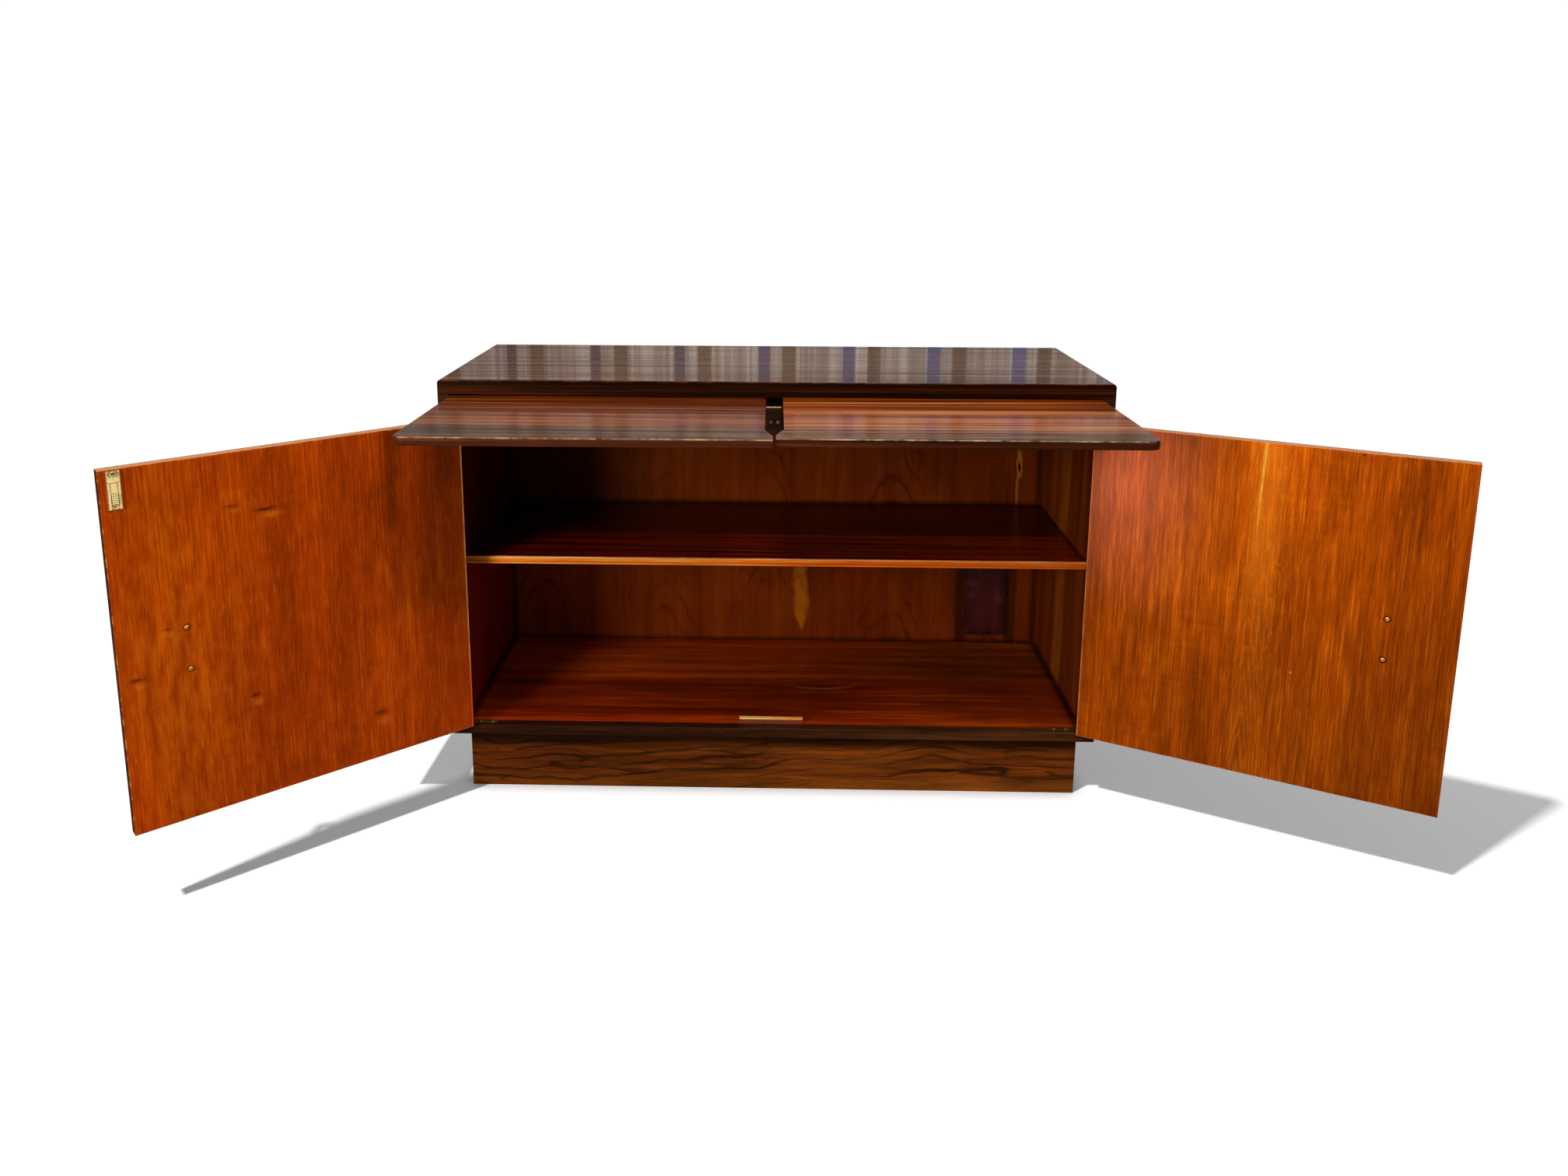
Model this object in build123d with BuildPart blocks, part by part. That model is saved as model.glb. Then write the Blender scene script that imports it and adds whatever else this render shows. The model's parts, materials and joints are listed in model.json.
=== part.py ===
from build123d import *
import math
import os

os.makedirs("parts", exist_ok=True)

# Low two-door cabinet with a pair of pull-out leaves under its top.
# Frame: origin on the floor, in the middle of the width and of the depth,
# +X to the cabinet's right as seen from the front, the front faces -Y, +Z up.
# The doors stand open and the leaves stand out. All lengths are millimetres.
# A name ending in _x, _y, _z, _u, _v or _w may be a (low, high) span on that axis.

# ---------------------------------------------------------------- dimensions
width = 1200.0
depth = 435.0
height = 789.0
y_front = -depth / 2                 # plane of the closed doors' outer faces
y_rear = depth / 2

top_thick = 27.0
side_thick = 20.5
x_in = width / 2 - side_thick        # inner face of a side panel
z_top_under = height - top_thick
plinth_height = 111.0
bottom_thick = 18.5
z_floor = plinth_height + bottom_thick   # floor of the compartment

back_thick = 8.0
back_y = y_front + 424.0             # inner face of the back panel
back_gap = 0.5                       # play of the back panel's edges
rebate = 8.0                         # rebate that takes the back panel

rail_depth = 40.0                    # rail above the doors
rail_z0, rail_z1 = 721.0, 744.0
y_behind_rail = y_front + rail_depth

shelf_z = (431.5, 446.0)
cleat_size = 15.0                    # square section of a shelf cleat

leaf_z0, leaf_thick = 746.0, 14.0
runner_top = leaf_z0 - 0.2
runner_width = 20.0

door_thick = 20.0
door_z0, door_z1 = 132.5, 719.4
pivot_x = 574.0                      # pivot line, in the plane of the outer face

pin_r = 2.0
pin_gap = 0.05                       # radial clearance of a pin in its bore
plate_thick = 2.5                    # hinge plates
ear_r = 4.8
bore_length = 700.0                  # one cutter bores both plates on a pivot line

bolt_u = (543.0, 561.5)              # bolt plate on the left door, from the pivot
bolt_w = (658.0, 717.3)

over = 1.0                           # how far a cutter runs past the wood
screw_gap = 0.05                     # clearance of a screw in its pocket

SIDES = ((-1, "left"), (1, "right"))

DOWN = (0, 0, 0)                     # screw point towards -Z
UP = (180, 0, 0)                     # screw point towards +Z
TO_REAR = (90, 0, 0)                 # head faces -Y, point towards +Y
TO_FRONT = (-90, 0, 0)               # head faces +Y, point towards -Y


# ------------------------------------------------------------------- helpers
def middle(span):
    return (span[0] + span[1]) / 2


def length(span):
    return span[1] - span[0]


def around(centre, half):
    """Span of the given half length about a centre."""
    return (centre - half, centre + half)


def mirrored(sign, near, far):
    """Span between two distances from zero, on the side given by sign."""
    return sorted((sign * near, sign * far))


def from_front(near, far):
    """Y span between two distances behind the front plane."""
    return (y_front + near, y_front + far)


def board(x_span, y_span, z_span, plane=Plane.XY):
    """Rectangular board, its spans measured in the given plane's frame."""
    with BuildPart() as block:
        with BuildSketch(plane.offset(z_span[0])):
            with Locations((middle(x_span), middle(y_span))):
                Rectangle(length(x_span), length(y_span))
        extrude(amount=length(z_span))
    return block.part


def cut(*cutters):
    """Subtract the cutters from the part being built."""
    for cutter in cutters:
        add(cutter, mode=Mode.SUBTRACT)


def countersunk(head_r, shank_r, total, grow=0.0, slot=True):
    """Countersunk wood screw: head face at z = 0, point towards -Z."""
    rim = 0.35
    with BuildPart() as screw:
        with BuildSketch(Plane.XZ):
            with BuildLine():
                Polyline(
                    (0, 0),
                    (head_r + grow, 0),
                    (head_r + grow, -rim),
                    (shank_r + grow, -rim - (head_r - shank_r)),
                    (shank_r + grow, -total + shank_r * 1.6),
                    (0, -total - grow),
                    (0, 0),
                )
            make_face()
        revolve(axis=Axis.Z)
        if slot:
            slot_depth = 0.8
            with Locations((0, 0, -slot_depth / 2)):
                Box(head_r * 1.72, head_r * 0.27, slot_depth, mode=Mode.SUBTRACT)
    return screw.part


def domed(head_r, head_h, shank_r, total, grow=0.0, slot=True):
    """Round-headed screw: seat of the head at z = 0, shank towards -Z."""
    shank = shank_r + grow
    tip = -total - grow
    rim = (head_r, head_h * 0.25)
    with BuildPart() as screw:
        with BuildSketch(Plane.XZ):
            with BuildLine():
                Line((0, tip), (shank, tip))
                Line((shank, tip), (shank, 0))
                Line((shank, 0), (head_r, 0))
                Line((head_r, 0), rim)
                ThreePointArc(rim, (head_r * 0.66, head_h * 0.82), (0, head_h))
                Line((0, head_h), (0, tip))
            make_face()
        revolve(axis=Axis.Z)
        if slot:
            with Locations((0, 0, head_h)):
                Box(head_r * 2.4, head_r * 0.3, head_h * 0.9, mode=Mode.SUBTRACT)
    return screw.part


def screws_at(places, make_screw, *size, **fit):
    """One part that holds a screw, or a screw-shaped cutter, at each place."""
    with BuildPart() as screws:
        with Locations(*places):
            add(make_screw(*size, **fit))
    return screws.part


def countersunk_pair(places, size, gap=screw_gap, slot=True):
    """Screws and the cutter for their pockets; size is head r, shank r, length."""
    screws = screws_at(places, countersunk, *size, slot=slot)
    pockets = screws_at(places, countersunk, *size, grow=gap, slot=False)
    return screws, pockets


def save(part, name):
    part.label = name
    export_step(part, f"parts/{name}.step")


# ------------------------------------------------------- screws of the carcass
back_screw_x = (-520, -260, 0, 260, 520)     # along the bottom and top edges
back_screw_z = (160, 300, 440, 580, 710)     # along the two ends
back_screw_side_x = 583.2
back_screw_low_z, back_screw_high_z = 120.0, 765.7
back_screw_xz = (
    [(side * back_screw_side_x, z) for side in (-1, 1) for z in back_screw_z]
    + [(x, back_screw_low_z) for x in back_screw_x]
    + [(x, back_screw_high_z) for x in back_screw_x]
)
back_screws, back_pockets = countersunk_pair(
    [Location((x, back_y + back_thick, z), TO_FRONT) for x, z in back_screw_xz],
    (3.0, 1.6, 25),
)
save(back_screws, "back_panel_screws")


def sideways_places(board_width, y_places, z):
    """Screws through boards on the side panels' inner faces, points outwards."""
    return [
        Location((side * (x_in - board_width), y, z), (0, -side * 90, 0))
        for side in (-1, 1)
        for y in y_places
    ]


cleat_screws, cleat_pockets = countersunk_pair(
    sideways_places(cleat_size, (-100, 30, 160), shelf_z[0] - cleat_size / 2),
    (3.2, 1.8, 30),
)
save(cleat_screws, "shelf_cleat_screws")

runner_screws, runner_pockets = countersunk_pair(
    sideways_places(runner_width, (-140, 20, 180), 733.0),
    (3.2, 1.8, 34),
)
save(runner_screws, "slide_runner_screws")

# ---------------------------------------------------- pivot hinges, carcass half
# Each hinge is a pair of stacked plates whose ears meet on the pivot line.
carcass_plate_x = (519.0, pivot_x + ear_r)
carcass_plate_y = from_front(8.0, 22.0)
carcass_plate_lows = (z_floor - plate_thick, rail_z0)
hinge_screw_x = (528.0, 550.0)
neck_depth = 9.0                     # from the pivot line back to the plate
washer_r = 4.5
washer_bore_gap = 0.02
washer_gap = 0.05                    # between a washer and the door
pin_recess = 0.2                     # pin end inside the door's plate


def carcass_plate(side, z_low):
    """L-shaped plate let into the wood, with an ear that reaches the pivot line."""
    with BuildPart() as plate:
        with BuildSketch(Plane.XY.offset(z_low)):
            with Locations((side * middle(carcass_plate_x), middle(carcass_plate_y))):
                Rectangle(length(carcass_plate_x), length(carcass_plate_y))
            with Locations((side * pivot_x, y_front + neck_depth / 2)):
                Rectangle(2 * ear_r, neck_depth)
            with Locations((side * pivot_x, y_front)):
                Circle(ear_r)
        extrude(amount=plate_thick)
    return plate.part


def on_pivots(z_spans, outer_r, bore_r=None):
    """Round bars, or rings where a bore is given, on both pivot lines."""
    with BuildPart() as rounds:
        for side in (-1, 1):
            for z_span in z_spans:
                with BuildSketch(Plane.XY.offset(z_span[0])):
                    with Locations((side * pivot_x, y_front)):
                        Circle(outer_r)
                        if bore_r:
                            Circle(bore_r, mode=Mode.SUBTRACT)
                extrude(amount=length(z_span))
    return rounds.part


carcass_hinge_screws, carcass_hinge_pockets = countersunk_pair(
    [
        Location((side * x, middle(carcass_plate_y) - 1.0, z), rotation)
        for side in (-1, 1)
        for x in hinge_screw_x
        for z, rotation in ((z_floor, DOWN), (rail_z0, UP))
    ],
    (3.0, 1.5, 14),
)
save(carcass_hinge_screws, "hinge_screws_carcass")

carcass_plates = [carcass_plate(side, low) for side in (-1, 1) for low in carcass_plate_lows]

for side, tag in SIDES:
    with BuildPart() as hinge_plates:
        for low in carcass_plate_lows:
            add(carcass_plate(side, low))
        with Locations((side * pivot_x, y_front, (z_floor + rail_z0) / 2)):
            Cylinder(pin_r, bore_length, mode=Mode.SUBTRACT)
        cut(carcass_hinge_pockets)
    save(hinge_plates.part, f"hinge_plates_carcass_{tag}")

pin_spans = (
    (z_floor - plate_thick, door_z0 + plate_thick - pin_recess),
    (door_z1 - plate_thick + pin_recess, rail_z0 + plate_thick),
)
save(on_pivots(pin_spans, pin_r), "hinge_pins")

washer_spans = ((z_floor, door_z0 - washer_gap), (door_z1 + washer_gap, rail_z0))
save(on_pivots(washer_spans, washer_r, pin_r + washer_bore_gap), "hinge_washers")

# ------------------------------------------------------- top and side panels
y_rebate = (back_y, y_rear + over)
with BuildPart() as top_panel:
    add(board((-width / 2, width / 2), (y_front, y_rear), (z_top_under, height)))
    # large round along the two ends, a small one along the front and back
    fillet(top_panel.edges().filter_by(Axis.Y).group_by(Axis.Z)[-1], radius=7.0)
    fillet(
        top_panel.edges().filter_by(Axis.X).filter_by(lambda edge: edge.length > 1000),
        radius=1.6,
    )
    rebate_z = (z_top_under - over, z_top_under + rebate)
    cut(board(around(0, x_in + rebate), y_rebate, rebate_z), back_pockets)
save(top_panel.part, "top_panel")

for side, tag in SIDES:
    outermost = 0 if side < 0 else -1        # index after sorting along X
    with BuildPart() as side_panel:
        add(
            board(
                mirrored(side, x_in, width / 2),
                (y_front, y_rear),
                (plinth_height, z_top_under),
            )
        )
        outer_face = side_panel.faces().sort_by(Axis.X)[outermost]
        fillet(outer_face.edges().filter_by(Axis.Z), radius=1.5)
        lower_edges = side_panel.edges().filter_by(Axis.Y).group_by(Axis.Z)[0]
        fillet(lower_edges.sort_by(Axis.X)[outermost], radius=1.2)
        rebate_x = mirrored(side, x_in - over, x_in + rebate)
        cut(
            board(rebate_x, y_rebate, (plinth_height - over, z_top_under + over)),
            back_pockets,
            cleat_pockets,
            runner_pockets,
        )
    save(side_panel.part, f"side_panel_{tag}")

# --------------------------------------------- floor, its lipping and its stop
lip_depth = 20.0                     # solid strip along the floor's front
floor_z = (plinth_height, z_floor)
floor_stop_x = -2.0                  # middle of the stop
floor_stop_width = 119.0
floor_stop_y = from_front(21.2, 37.2)
floor_stop_height = 10.4
foot_y = y_front + 29.4              # front of the stop's foot
foot_height = 4.5

floor_stop_screws, floor_stop_pockets = countersunk_pair(
    [
        Location((x, y_front + 33.4, z_floor + foot_height), DOWN)
        for x in around(floor_stop_x, 40.0)
    ],
    (2.4, 1.3, 19),
)
save(floor_stop_screws, "floor_stop_screws")

with BuildPart() as bottom_panel:
    add(board((-x_in, x_in), (y_front + lip_depth, back_y), floor_z))
    cut(back_pockets, *carcass_plates, floor_stop_pockets)
save(bottom_panel.part, "bottom_panel")

with BuildPart() as bottom_lipping:
    add(board((-x_in, x_in), from_front(0, lip_depth), floor_z))
    fillet(bottom_lipping.edges().filter_by(Axis.X).group_by(Axis.Y)[0], radius=1.2)
    cut(*carcass_plates, carcass_hinge_pockets)
save(bottom_lipping.part, "bottom_lipping")

with BuildPart() as floor_stop:
    stop_span_x = around(floor_stop_x, floor_stop_width / 2)
    add(board(stop_span_x, floor_stop_y, (z_floor, z_floor + floor_stop_height)))
    # raised front bar with a lower foot behind it that takes the screws
    cut(
        board(
            (-70, 70),
            (foot_y, floor_stop_y[1] + over),
            (z_floor + foot_height, z_floor + floor_stop_height + over),
        )
    )
    fillet(floor_stop.edges().filter_by(Axis.X).group_by(Axis.Z)[-1], radius=0.6)
    cut(floor_stop_pockets)
save(floor_stop.part, "floor_stop")

# ------------------------------------------------ back panel and cover board
# The cover board is pinned over the lower right of the back panel, inside.
cover_x, cover_z = (422.0, 515.0), (148.0, 340.0)
cover_thick = 3.0
pin_inset_x, pin_inset_z = 7.0, 8.0

cover_pins, cover_pin_pockets = countersunk_pair(
    [
        Location((x, back_y - cover_thick, z), TO_REAR)
        for x in (cover_x[0] + pin_inset_x, cover_x[1] - pin_inset_x)
        for z in (cover_z[0] + pin_inset_z, middle(cover_z), cover_z[1] - pin_inset_z)
    ],
    (1.5, 0.7, 9),
    gap=0.03,
    slot=False,
)
save(cover_pins, "cover_board_pins")

with BuildPart() as cover_board:
    add(board(cover_x, (back_y - cover_thick, back_y), cover_z))
    chamfer(cover_board.faces().sort_by(Axis.Y)[0].edges(), length=0.8)
    cut(cover_pin_pockets)
save(cover_board.part, "cover_board")

with BuildPart() as back_panel:
    add(
        board(
            around(0, x_in + rebate - back_gap),
            (back_y, back_y + back_thick),
            (plinth_height + back_gap, z_top_under + rebate - back_gap),
        )
    )
    cut(back_pockets, cover_pin_pockets)
save(back_panel.part, "back_panel")

# --------------------------------------------------------------------- shelf
shelf_front = y_front + 47.0
shelf_strip = 4.0                    # lipping along the shelf's front
shelf_x = around(0, x_in - 1.0)
cleat_y = (y_front + 90.0, 190.0)

save(board(shelf_x, (shelf_front + shelf_strip, back_y - 0.3), shelf_z), "shelf")

with BuildPart() as shelf_lipping:
    add(board(shelf_x, (shelf_front, shelf_front + shelf_strip), shelf_z))
    fillet(shelf_lipping.edges().filter_by(Axis.X).group_by(Axis.Y)[0], radius=1.8)
save(shelf_lipping.part, "shelf_lipping")

for side, tag in SIDES:
    with BuildPart() as shelf_cleat:
        add(
            board(
                mirrored(side, x_in - cleat_size, x_in),
                cleat_y,
                (shelf_z[0] - cleat_size, shelf_z[0]),
            )
        )
        lower_edges = shelf_cleat.edges().filter_by(Axis.Y).group_by(Axis.Z)[0]
        chamfer(lower_edges.sort_by(Axis.X)[-1 if side < 0 else 0], length=3.0)
        cut(cleat_pockets)
    save(shelf_cleat.part, f"shelf_cleat_{tag}")

# ------------------------------------------------ rail and keeper of the bolt
bolt_mid_u = middle(bolt_u)
bolt_mid_x = -pivot_x + bolt_mid_u   # where the bolt stands when closed
keeper_y = y_front + 22.3
keeper_length, keeper_width, keeper_thick = 27.0, 12.0, 1.5
mortise_y = y_front + 22.5
mortise_length, mortise_width, mortise_depth = 10.0, 3.2, 10.0

keeper_screws, keeper_pockets = countersunk_pair(
    [Location((x, keeper_y, rail_z0), UP) for x in around(bolt_mid_x, 10.3)],
    (1.7, 0.9, 11),
)
save(keeper_screws, "bolt_keeper_screws")

with BuildPart() as slide_rail:
    add(board((-x_in, x_in), (y_front, y_behind_rail), (rail_z0, rail_z1)))
    fillet(slide_rail.edges().filter_by(Axis.X).group_by(Axis.Y)[0], radius=1.0)
    cut(*carcass_plates, carcass_hinge_pockets, keeper_pockets)
    # bed of the bolt keeper and the mortise above it
    cut(
        board(
            around(bolt_mid_x, keeper_length / 2),
            around(keeper_y, keeper_width / 2),
            (rail_z0 - over, rail_z0 + keeper_thick),
        ),
        board(
            around(bolt_mid_x, mortise_length / 2),
            around(mortise_y, mortise_width / 2),
            (rail_z0 - over, rail_z0 + mortise_depth),
        ),
    )
save(slide_rail.part, "slide_rail")

with BuildPart() as bolt_keeper:
    with BuildSketch(Plane.XY.offset(rail_z0)):
        with Locations((bolt_mid_x, keeper_y)):
            RectangleRounded(keeper_length, keeper_width, 1.5)
        with Locations((bolt_mid_x, mortise_y)):
            Rectangle(mortise_length, mortise_width, mode=Mode.SUBTRACT)
    extrude(amount=keeper_thick)
    cut(keeper_pockets)
save(bolt_keeper.part, "bolt_keeper")

# ------------------------------------------- runners, divider and stop block
runner_y = (y_behind_rail, back_y)
center_runner_half = 40.0
center_runner_z0 = 700.0
divider_half = 13.5

stop_x = (-12.0, 22.0)
stop_y = (y_front + 21.0, y_behind_rail)
stop_z0 = 690.0
stop_rebate_x, stop_rebate_z = -7.2, 718.6   # cut back under the bolt's keeper

stop_block_screws, stop_pockets = countersunk_pair(
    [Location((x, stop_y[0], 712.0), TO_REAR) for x in (-6.0, 6.5)],
    (3.0, 1.6, 38),
)
save(stop_block_screws, "stop_block_screws")

for side, tag in SIDES:
    with BuildPart() as slide_runner:
        runner_x = mirrored(side, x_in - runner_width, x_in)
        add(board(runner_x, runner_y, (rail_z0, runner_top)))
        cut(runner_pockets)
    save(slide_runner.part, f"slide_runner_{tag}")

with BuildPart() as center_runner:
    add(board(around(0, center_runner_half), runner_y, (center_runner_z0, runner_top)))
    # groove that takes the divider
    groove_y = (y_front, back_y + over)
    cut(board(around(0, divider_half), groove_y, (rail_z1, runner_top + over)))
    cut(stop_pockets)
save(center_runner.part, "center_runner")

save(
    board(around(0, divider_half), (y_front + 69.0, back_y), (rail_z1, z_top_under)),
    "slide_divider",
)

with BuildPart() as stop_block:
    add(board(stop_x, stop_y, (stop_z0, rail_z0)))
    chamfer(stop_block.faces().sort_by(Axis.Z)[0].edges(), length=2.0)
    cut(
        board(
            (stop_x[0] - over, stop_rebate_x),
            (stop_y[0] - over, stop_y[1] + over),
            (stop_rebate_z, rail_z0 + over),
        ),
        stop_pockets,
    )
save(stop_block.part, "stop_block")

# -------------------------------------------------------------------- plinth
plinth_x = width / 2 - 29.5
plinth_board = 18.0
plinth_y = from_front(14.0, 420.0)
plinth_inner_y = (plinth_y[0] + plinth_board, plinth_y[1] - plinth_board)
plinth_z = (0, plinth_height)

for tag, y_span, outermost in (
    ("front", (plinth_y[0], plinth_inner_y[0]), 0),
    ("back", (plinth_inner_y[1], plinth_y[1]), -1),
):
    with BuildPart() as long_board:
        add(board((-plinth_x, plinth_x), y_span, plinth_z))
        outer_edges = long_board.edges().filter_by(Axis.Z).group_by(Axis.Y)[outermost]
        fillet(outer_edges, radius=1.2)
    save(long_board.part, f"plinth_{tag}")

for side, tag in SIDES:
    side_x = mirrored(side, plinth_x - plinth_board, plinth_x)
    save(board(side_x, plinth_inner_y, plinth_z), f"plinth_side_{tag}")

save(board(around(0, plinth_board / 2), plinth_inner_y, plinth_z), "plinth_cross_rail")

block_leg, block_nib = 38.0, 8.0     # long legs and blunt ends of a corner block
block_z0 = 26.0
with BuildPart() as plinth_corner_blocks:
    with BuildSketch(Plane.XY.offset(block_z0)):
        for side in (-1, 1):
            for y_corner, inward in ((plinth_inner_y[0], 1), (plinth_inner_y[1], -1)):
                x_corner = side * (plinth_x - plinth_board)
                with BuildLine():
                    Polyline(
                        (x_corner, y_corner),
                        (x_corner - side * block_leg, y_corner),
                        (x_corner - side * block_leg, y_corner + inward * block_nib),
                        (x_corner - side * block_nib, y_corner + inward * block_leg),
                        (x_corner, y_corner + inward * block_leg),
                        (x_corner, y_corner),
                    )
                make_face()
    extrude(amount=plinth_height - block_z0)
save(plinth_corner_blocks.part, "plinth_corner_blocks")

# ----------------------------------------------------------- pull-out leaves
leaf_length = 415.0
leaf_outer_x = x_in - 1.0
leaf_out = {"left": 328.0, "right": 320.0}   # how far each leaf stands out
tab_x, tab_depth = 2.4, 24.0         # full-width tab at the inner front corner
notch_x, taper_depth = 15.0, 66.0    # edge behind the tab, and where its taper ends
peg_r = 4.0
peg_x = (110.0, 480.0)
peg_from_rear = 35.0
peg_hole_depth = 9.0
peg_drop = 8.0                       # how far a peg hangs below the leaf


def slide_leaf(side, y0):
    """Leaf with its front edge at y0, its inner edge notched behind the tab."""
    y1 = y0 + leaf_length
    with BuildPart() as leaf:
        with BuildSketch(Plane.XY.offset(leaf_z0)):
            with BuildLine():
                Polyline(
                    (side * tab_x, y0),
                    (side * leaf_outer_x, y0),
                    (side * leaf_outer_x, y1),
                    (side * notch_x, y1),
                    (side * notch_x, y0 + taper_depth),
                    (side * tab_x, y0 + tab_depth),
                    (side * tab_x, y0),
                )
            make_face()
        extrude(amount=leaf_thick)
        front_corners = leaf.edges().filter_by(Axis.Z).group_by(Axis.Y)[0]
        fillet(front_corners.sort_by(Axis.X)[0 if side < 0 else -1], radius=18.0)
        # the clearance notch runs out in a taper towards the front
        for corner_x, corner_y, corner_r in (
            (tab_x, y0 + tab_depth, 12.0),
            (notch_x, y0 + taper_depth, 9.0),
        ):
            fillet(
                leaf.edges().filter_by(Axis.Z).filter_by(
                    lambda edge: abs(edge.center().Y - corner_y) < 0.1
                    and abs(abs(edge.center().X) - corner_x) < 0.1
                ),
                radius=corner_r,
            )
        # the front edge is eased above and below
        fillet(
            leaf.edges().filter_by(Axis.X).filter_by(
                lambda edge: abs(edge.center().Y - y0) < 0.1
            ),
            radius=2.0,
        )
        # blind holes for the stop pegs
        with BuildSketch(Plane.XY.offset(leaf_z0)):
            with Locations(*[(side * x, y1 - peg_from_rear) for x in peg_x]):
                Circle(peg_r)
        extrude(amount=peg_hole_depth, mode=Mode.SUBTRACT)
    return leaf.part


def slide_stop_pegs(side, y0):
    """The two pegs under the leaf whose front edge is at y0."""
    with BuildPart() as pegs:
        with BuildSketch(Plane.XY.offset(leaf_z0 - peg_drop)):
            with Locations(*[(side * x, y0 + leaf_length - peg_from_rear) for x in peg_x]):
                Circle(peg_r)
        extrude(amount=peg_drop + peg_hole_depth)
        chamfer(pegs.faces().filter_by(Axis.Z).group_by(Axis.Z)[0].edges(), length=1.0)
    return pegs.part


for side, tag in SIDES:
    leaf_front = y_front - leaf_out[tag]
    save(slide_leaf(side, leaf_front), f"slide_leaf_{tag}")
    save(slide_stop_pegs(side, leaf_front), f"slide_stop_pegs_{tag}")

# --------------------------------------------------------------------- doors
# Door frame: u runs from the pivot line to the free edge, v is the depth into
# the door (v = 0 is the outer face, v = door_thick the inner face), w is height.
door_angle = {"left": 138.7, "right": 152.6}   # degrees open
door_u = (-4.0, 572.5)               # hinge edge and free edge
door_w = (door_z0, door_z1)
facing_thick = 2.0
door_edge_r = 0.8

door_plate_lows = (door_z0, door_z1 - plate_thick)
door_plate_u, door_plate_v = (-2.0, 54.0), (5.0, 16.0)
door_neck_u, door_neck_v = (-3.0, ear_r), (0.0, 13.0)   # joins plate and ear

handle_u = 471.0
handle_w = (383.0, 452.0)            # the two feet
rod_r = 3.6
rod_start, rod_stand = 6.5, 24.0     # rod's distance from the door, ends and middle
# Half profile of a handle foot: (radius, distance out from the door)
foot_profile = (
    (0, 0), (7.5, 0), (7.5, 1.6), (5.2, 4.2), (4.2, 9.0), (0, 9.0), (0, 0),
)

bolt_plate_thick = 1.2


class Door:
    """Position of one open door, and shapes given in its u, v, w frame."""

    def __init__(self, side, angle):
        opening = math.radians(angle)
        self.base = Plane(
            origin=(side * pivot_x, y_front, 0),
            x_dir=(-side * math.cos(opening), -math.sin(opening), 0),
            z_dir=(0, 0, 1),
        )
        self.v_in = -side            # sign of v along the base plane's y
        # rotation of a screw whose head faces the inside
        self.head_inside = (-90 * self.v_in, 0, 0)

    def at(self, u, v, w, rotation=(0, 0, 0)):
        return self.base.location * Location((u, self.v_in * v, w), rotation)

    def block(self, u_span, v_span, w_span):
        return board(u_span, mirrored(self.v_in, *v_span), w_span, plane=self.base)

    def face_edges(self, part, v):
        """Edges of the face that lies at depth v."""
        return part.faces().filter_by(
            lambda face: abs(self.base.to_local_coords(face.center()).Y - self.v_in * v) < 0.01
        ).edges()

    def hinge_plate(self, w_low):
        with BuildPart() as plate:
            with BuildSketch(self.base.offset(w_low)):
                for u_span, v_span in (
                    (door_plate_u, door_plate_v),
                    (door_neck_u, door_neck_v),
                ):
                    with Locations((middle(u_span), self.v_in * middle(v_span))):
                        Rectangle(length(u_span), length(v_span))
                Circle(ear_r)
            extrude(amount=plate_thick)
        return plate.part

    def hinge_plates(self):
        return [self.hinge_plate(low) for low in door_plate_lows]


def door_hinge_plates(door, screw_pockets):
    """Plates in the bottom and top edges of the door."""
    with BuildPart() as plates:
        for low in door_plate_lows:
            add(door.hinge_plate(low))
        with Locations(door.at(0, 0, middle(door_w))):
            Cylinder(pin_r + pin_gap, bore_length, mode=Mode.SUBTRACT)
        cut(screw_pockets)
    return plates.part


def door_panel(door, screw_pockets):
    with BuildPart() as panel:
        add(door.block(door_u, (facing_thick, door_thick), door_w))
        fillet(door.face_edges(panel, door_thick), radius=door_edge_r)
        cut(*door.hinge_plates(), *screw_pockets)
    return panel.part


def door_facing(door, screw_pockets):
    """Thin sheet on the outer face of the door."""
    with BuildPart() as facing:
        add(door.block(door_u, (0, facing_thick), door_w))
        fillet(door.face_edges(facing, 0), radius=door_edge_r)
        cut(*door.hinge_plates(), screw_pockets)
    return facing.part


def bow_handle(door, screw_pockets):
    """A bent rod on two turned feet."""
    # local x runs up the door; y times out points away from the outer face
    plane = Plane(
        origin=door.at(handle_u, 0, middle(handle_w)).position,
        x_dir=(0, 0, 1),
        z_dir=door.base.x_dir,
    )
    out = door.v_in
    half = length(handle_w) / 2
    with BuildPart() as handle:
        for foot_x in (-half, half):
            toward_end = math.copysign(1, foot_x)
            with BuildSketch(plane):
                with BuildLine():
                    Polyline(*[(foot_x + toward_end * 0 + r, out * h) for r, h in foot_profile]
                             if toward_end > 0 else
                             [(foot_x - half * 0 + r, out * h) for r, h in foot_profile])
                make_face()
            revolve(axis=Axis(plane.from_local_coords(Vector(foot_x, 0, 0)), plane.y_dir))
        with BuildLine(plane) as bow:
            ThreePointArc((-half, out * rod_start), (0, out * rod_stand), (half, out * rod_start))
        with BuildSketch(Plane(origin=bow.line @ 0, z_dir=bow.line % 0)):
            Circle(rod_r)
        sweep(path=bow.line)
        cut(screw_pockets)
    return handle.part


def bolt_block(door, half_width, v_span, w_span, offset_u=0.0):
    """Block centred on the bolt's line, v_span measured from the inner face."""
    return door.block(
        around(bolt_mid_u + offset_u, half_width),
        (door_thick + v_span[0], door_thick + v_span[1]),
        w_span,
    )


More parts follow.
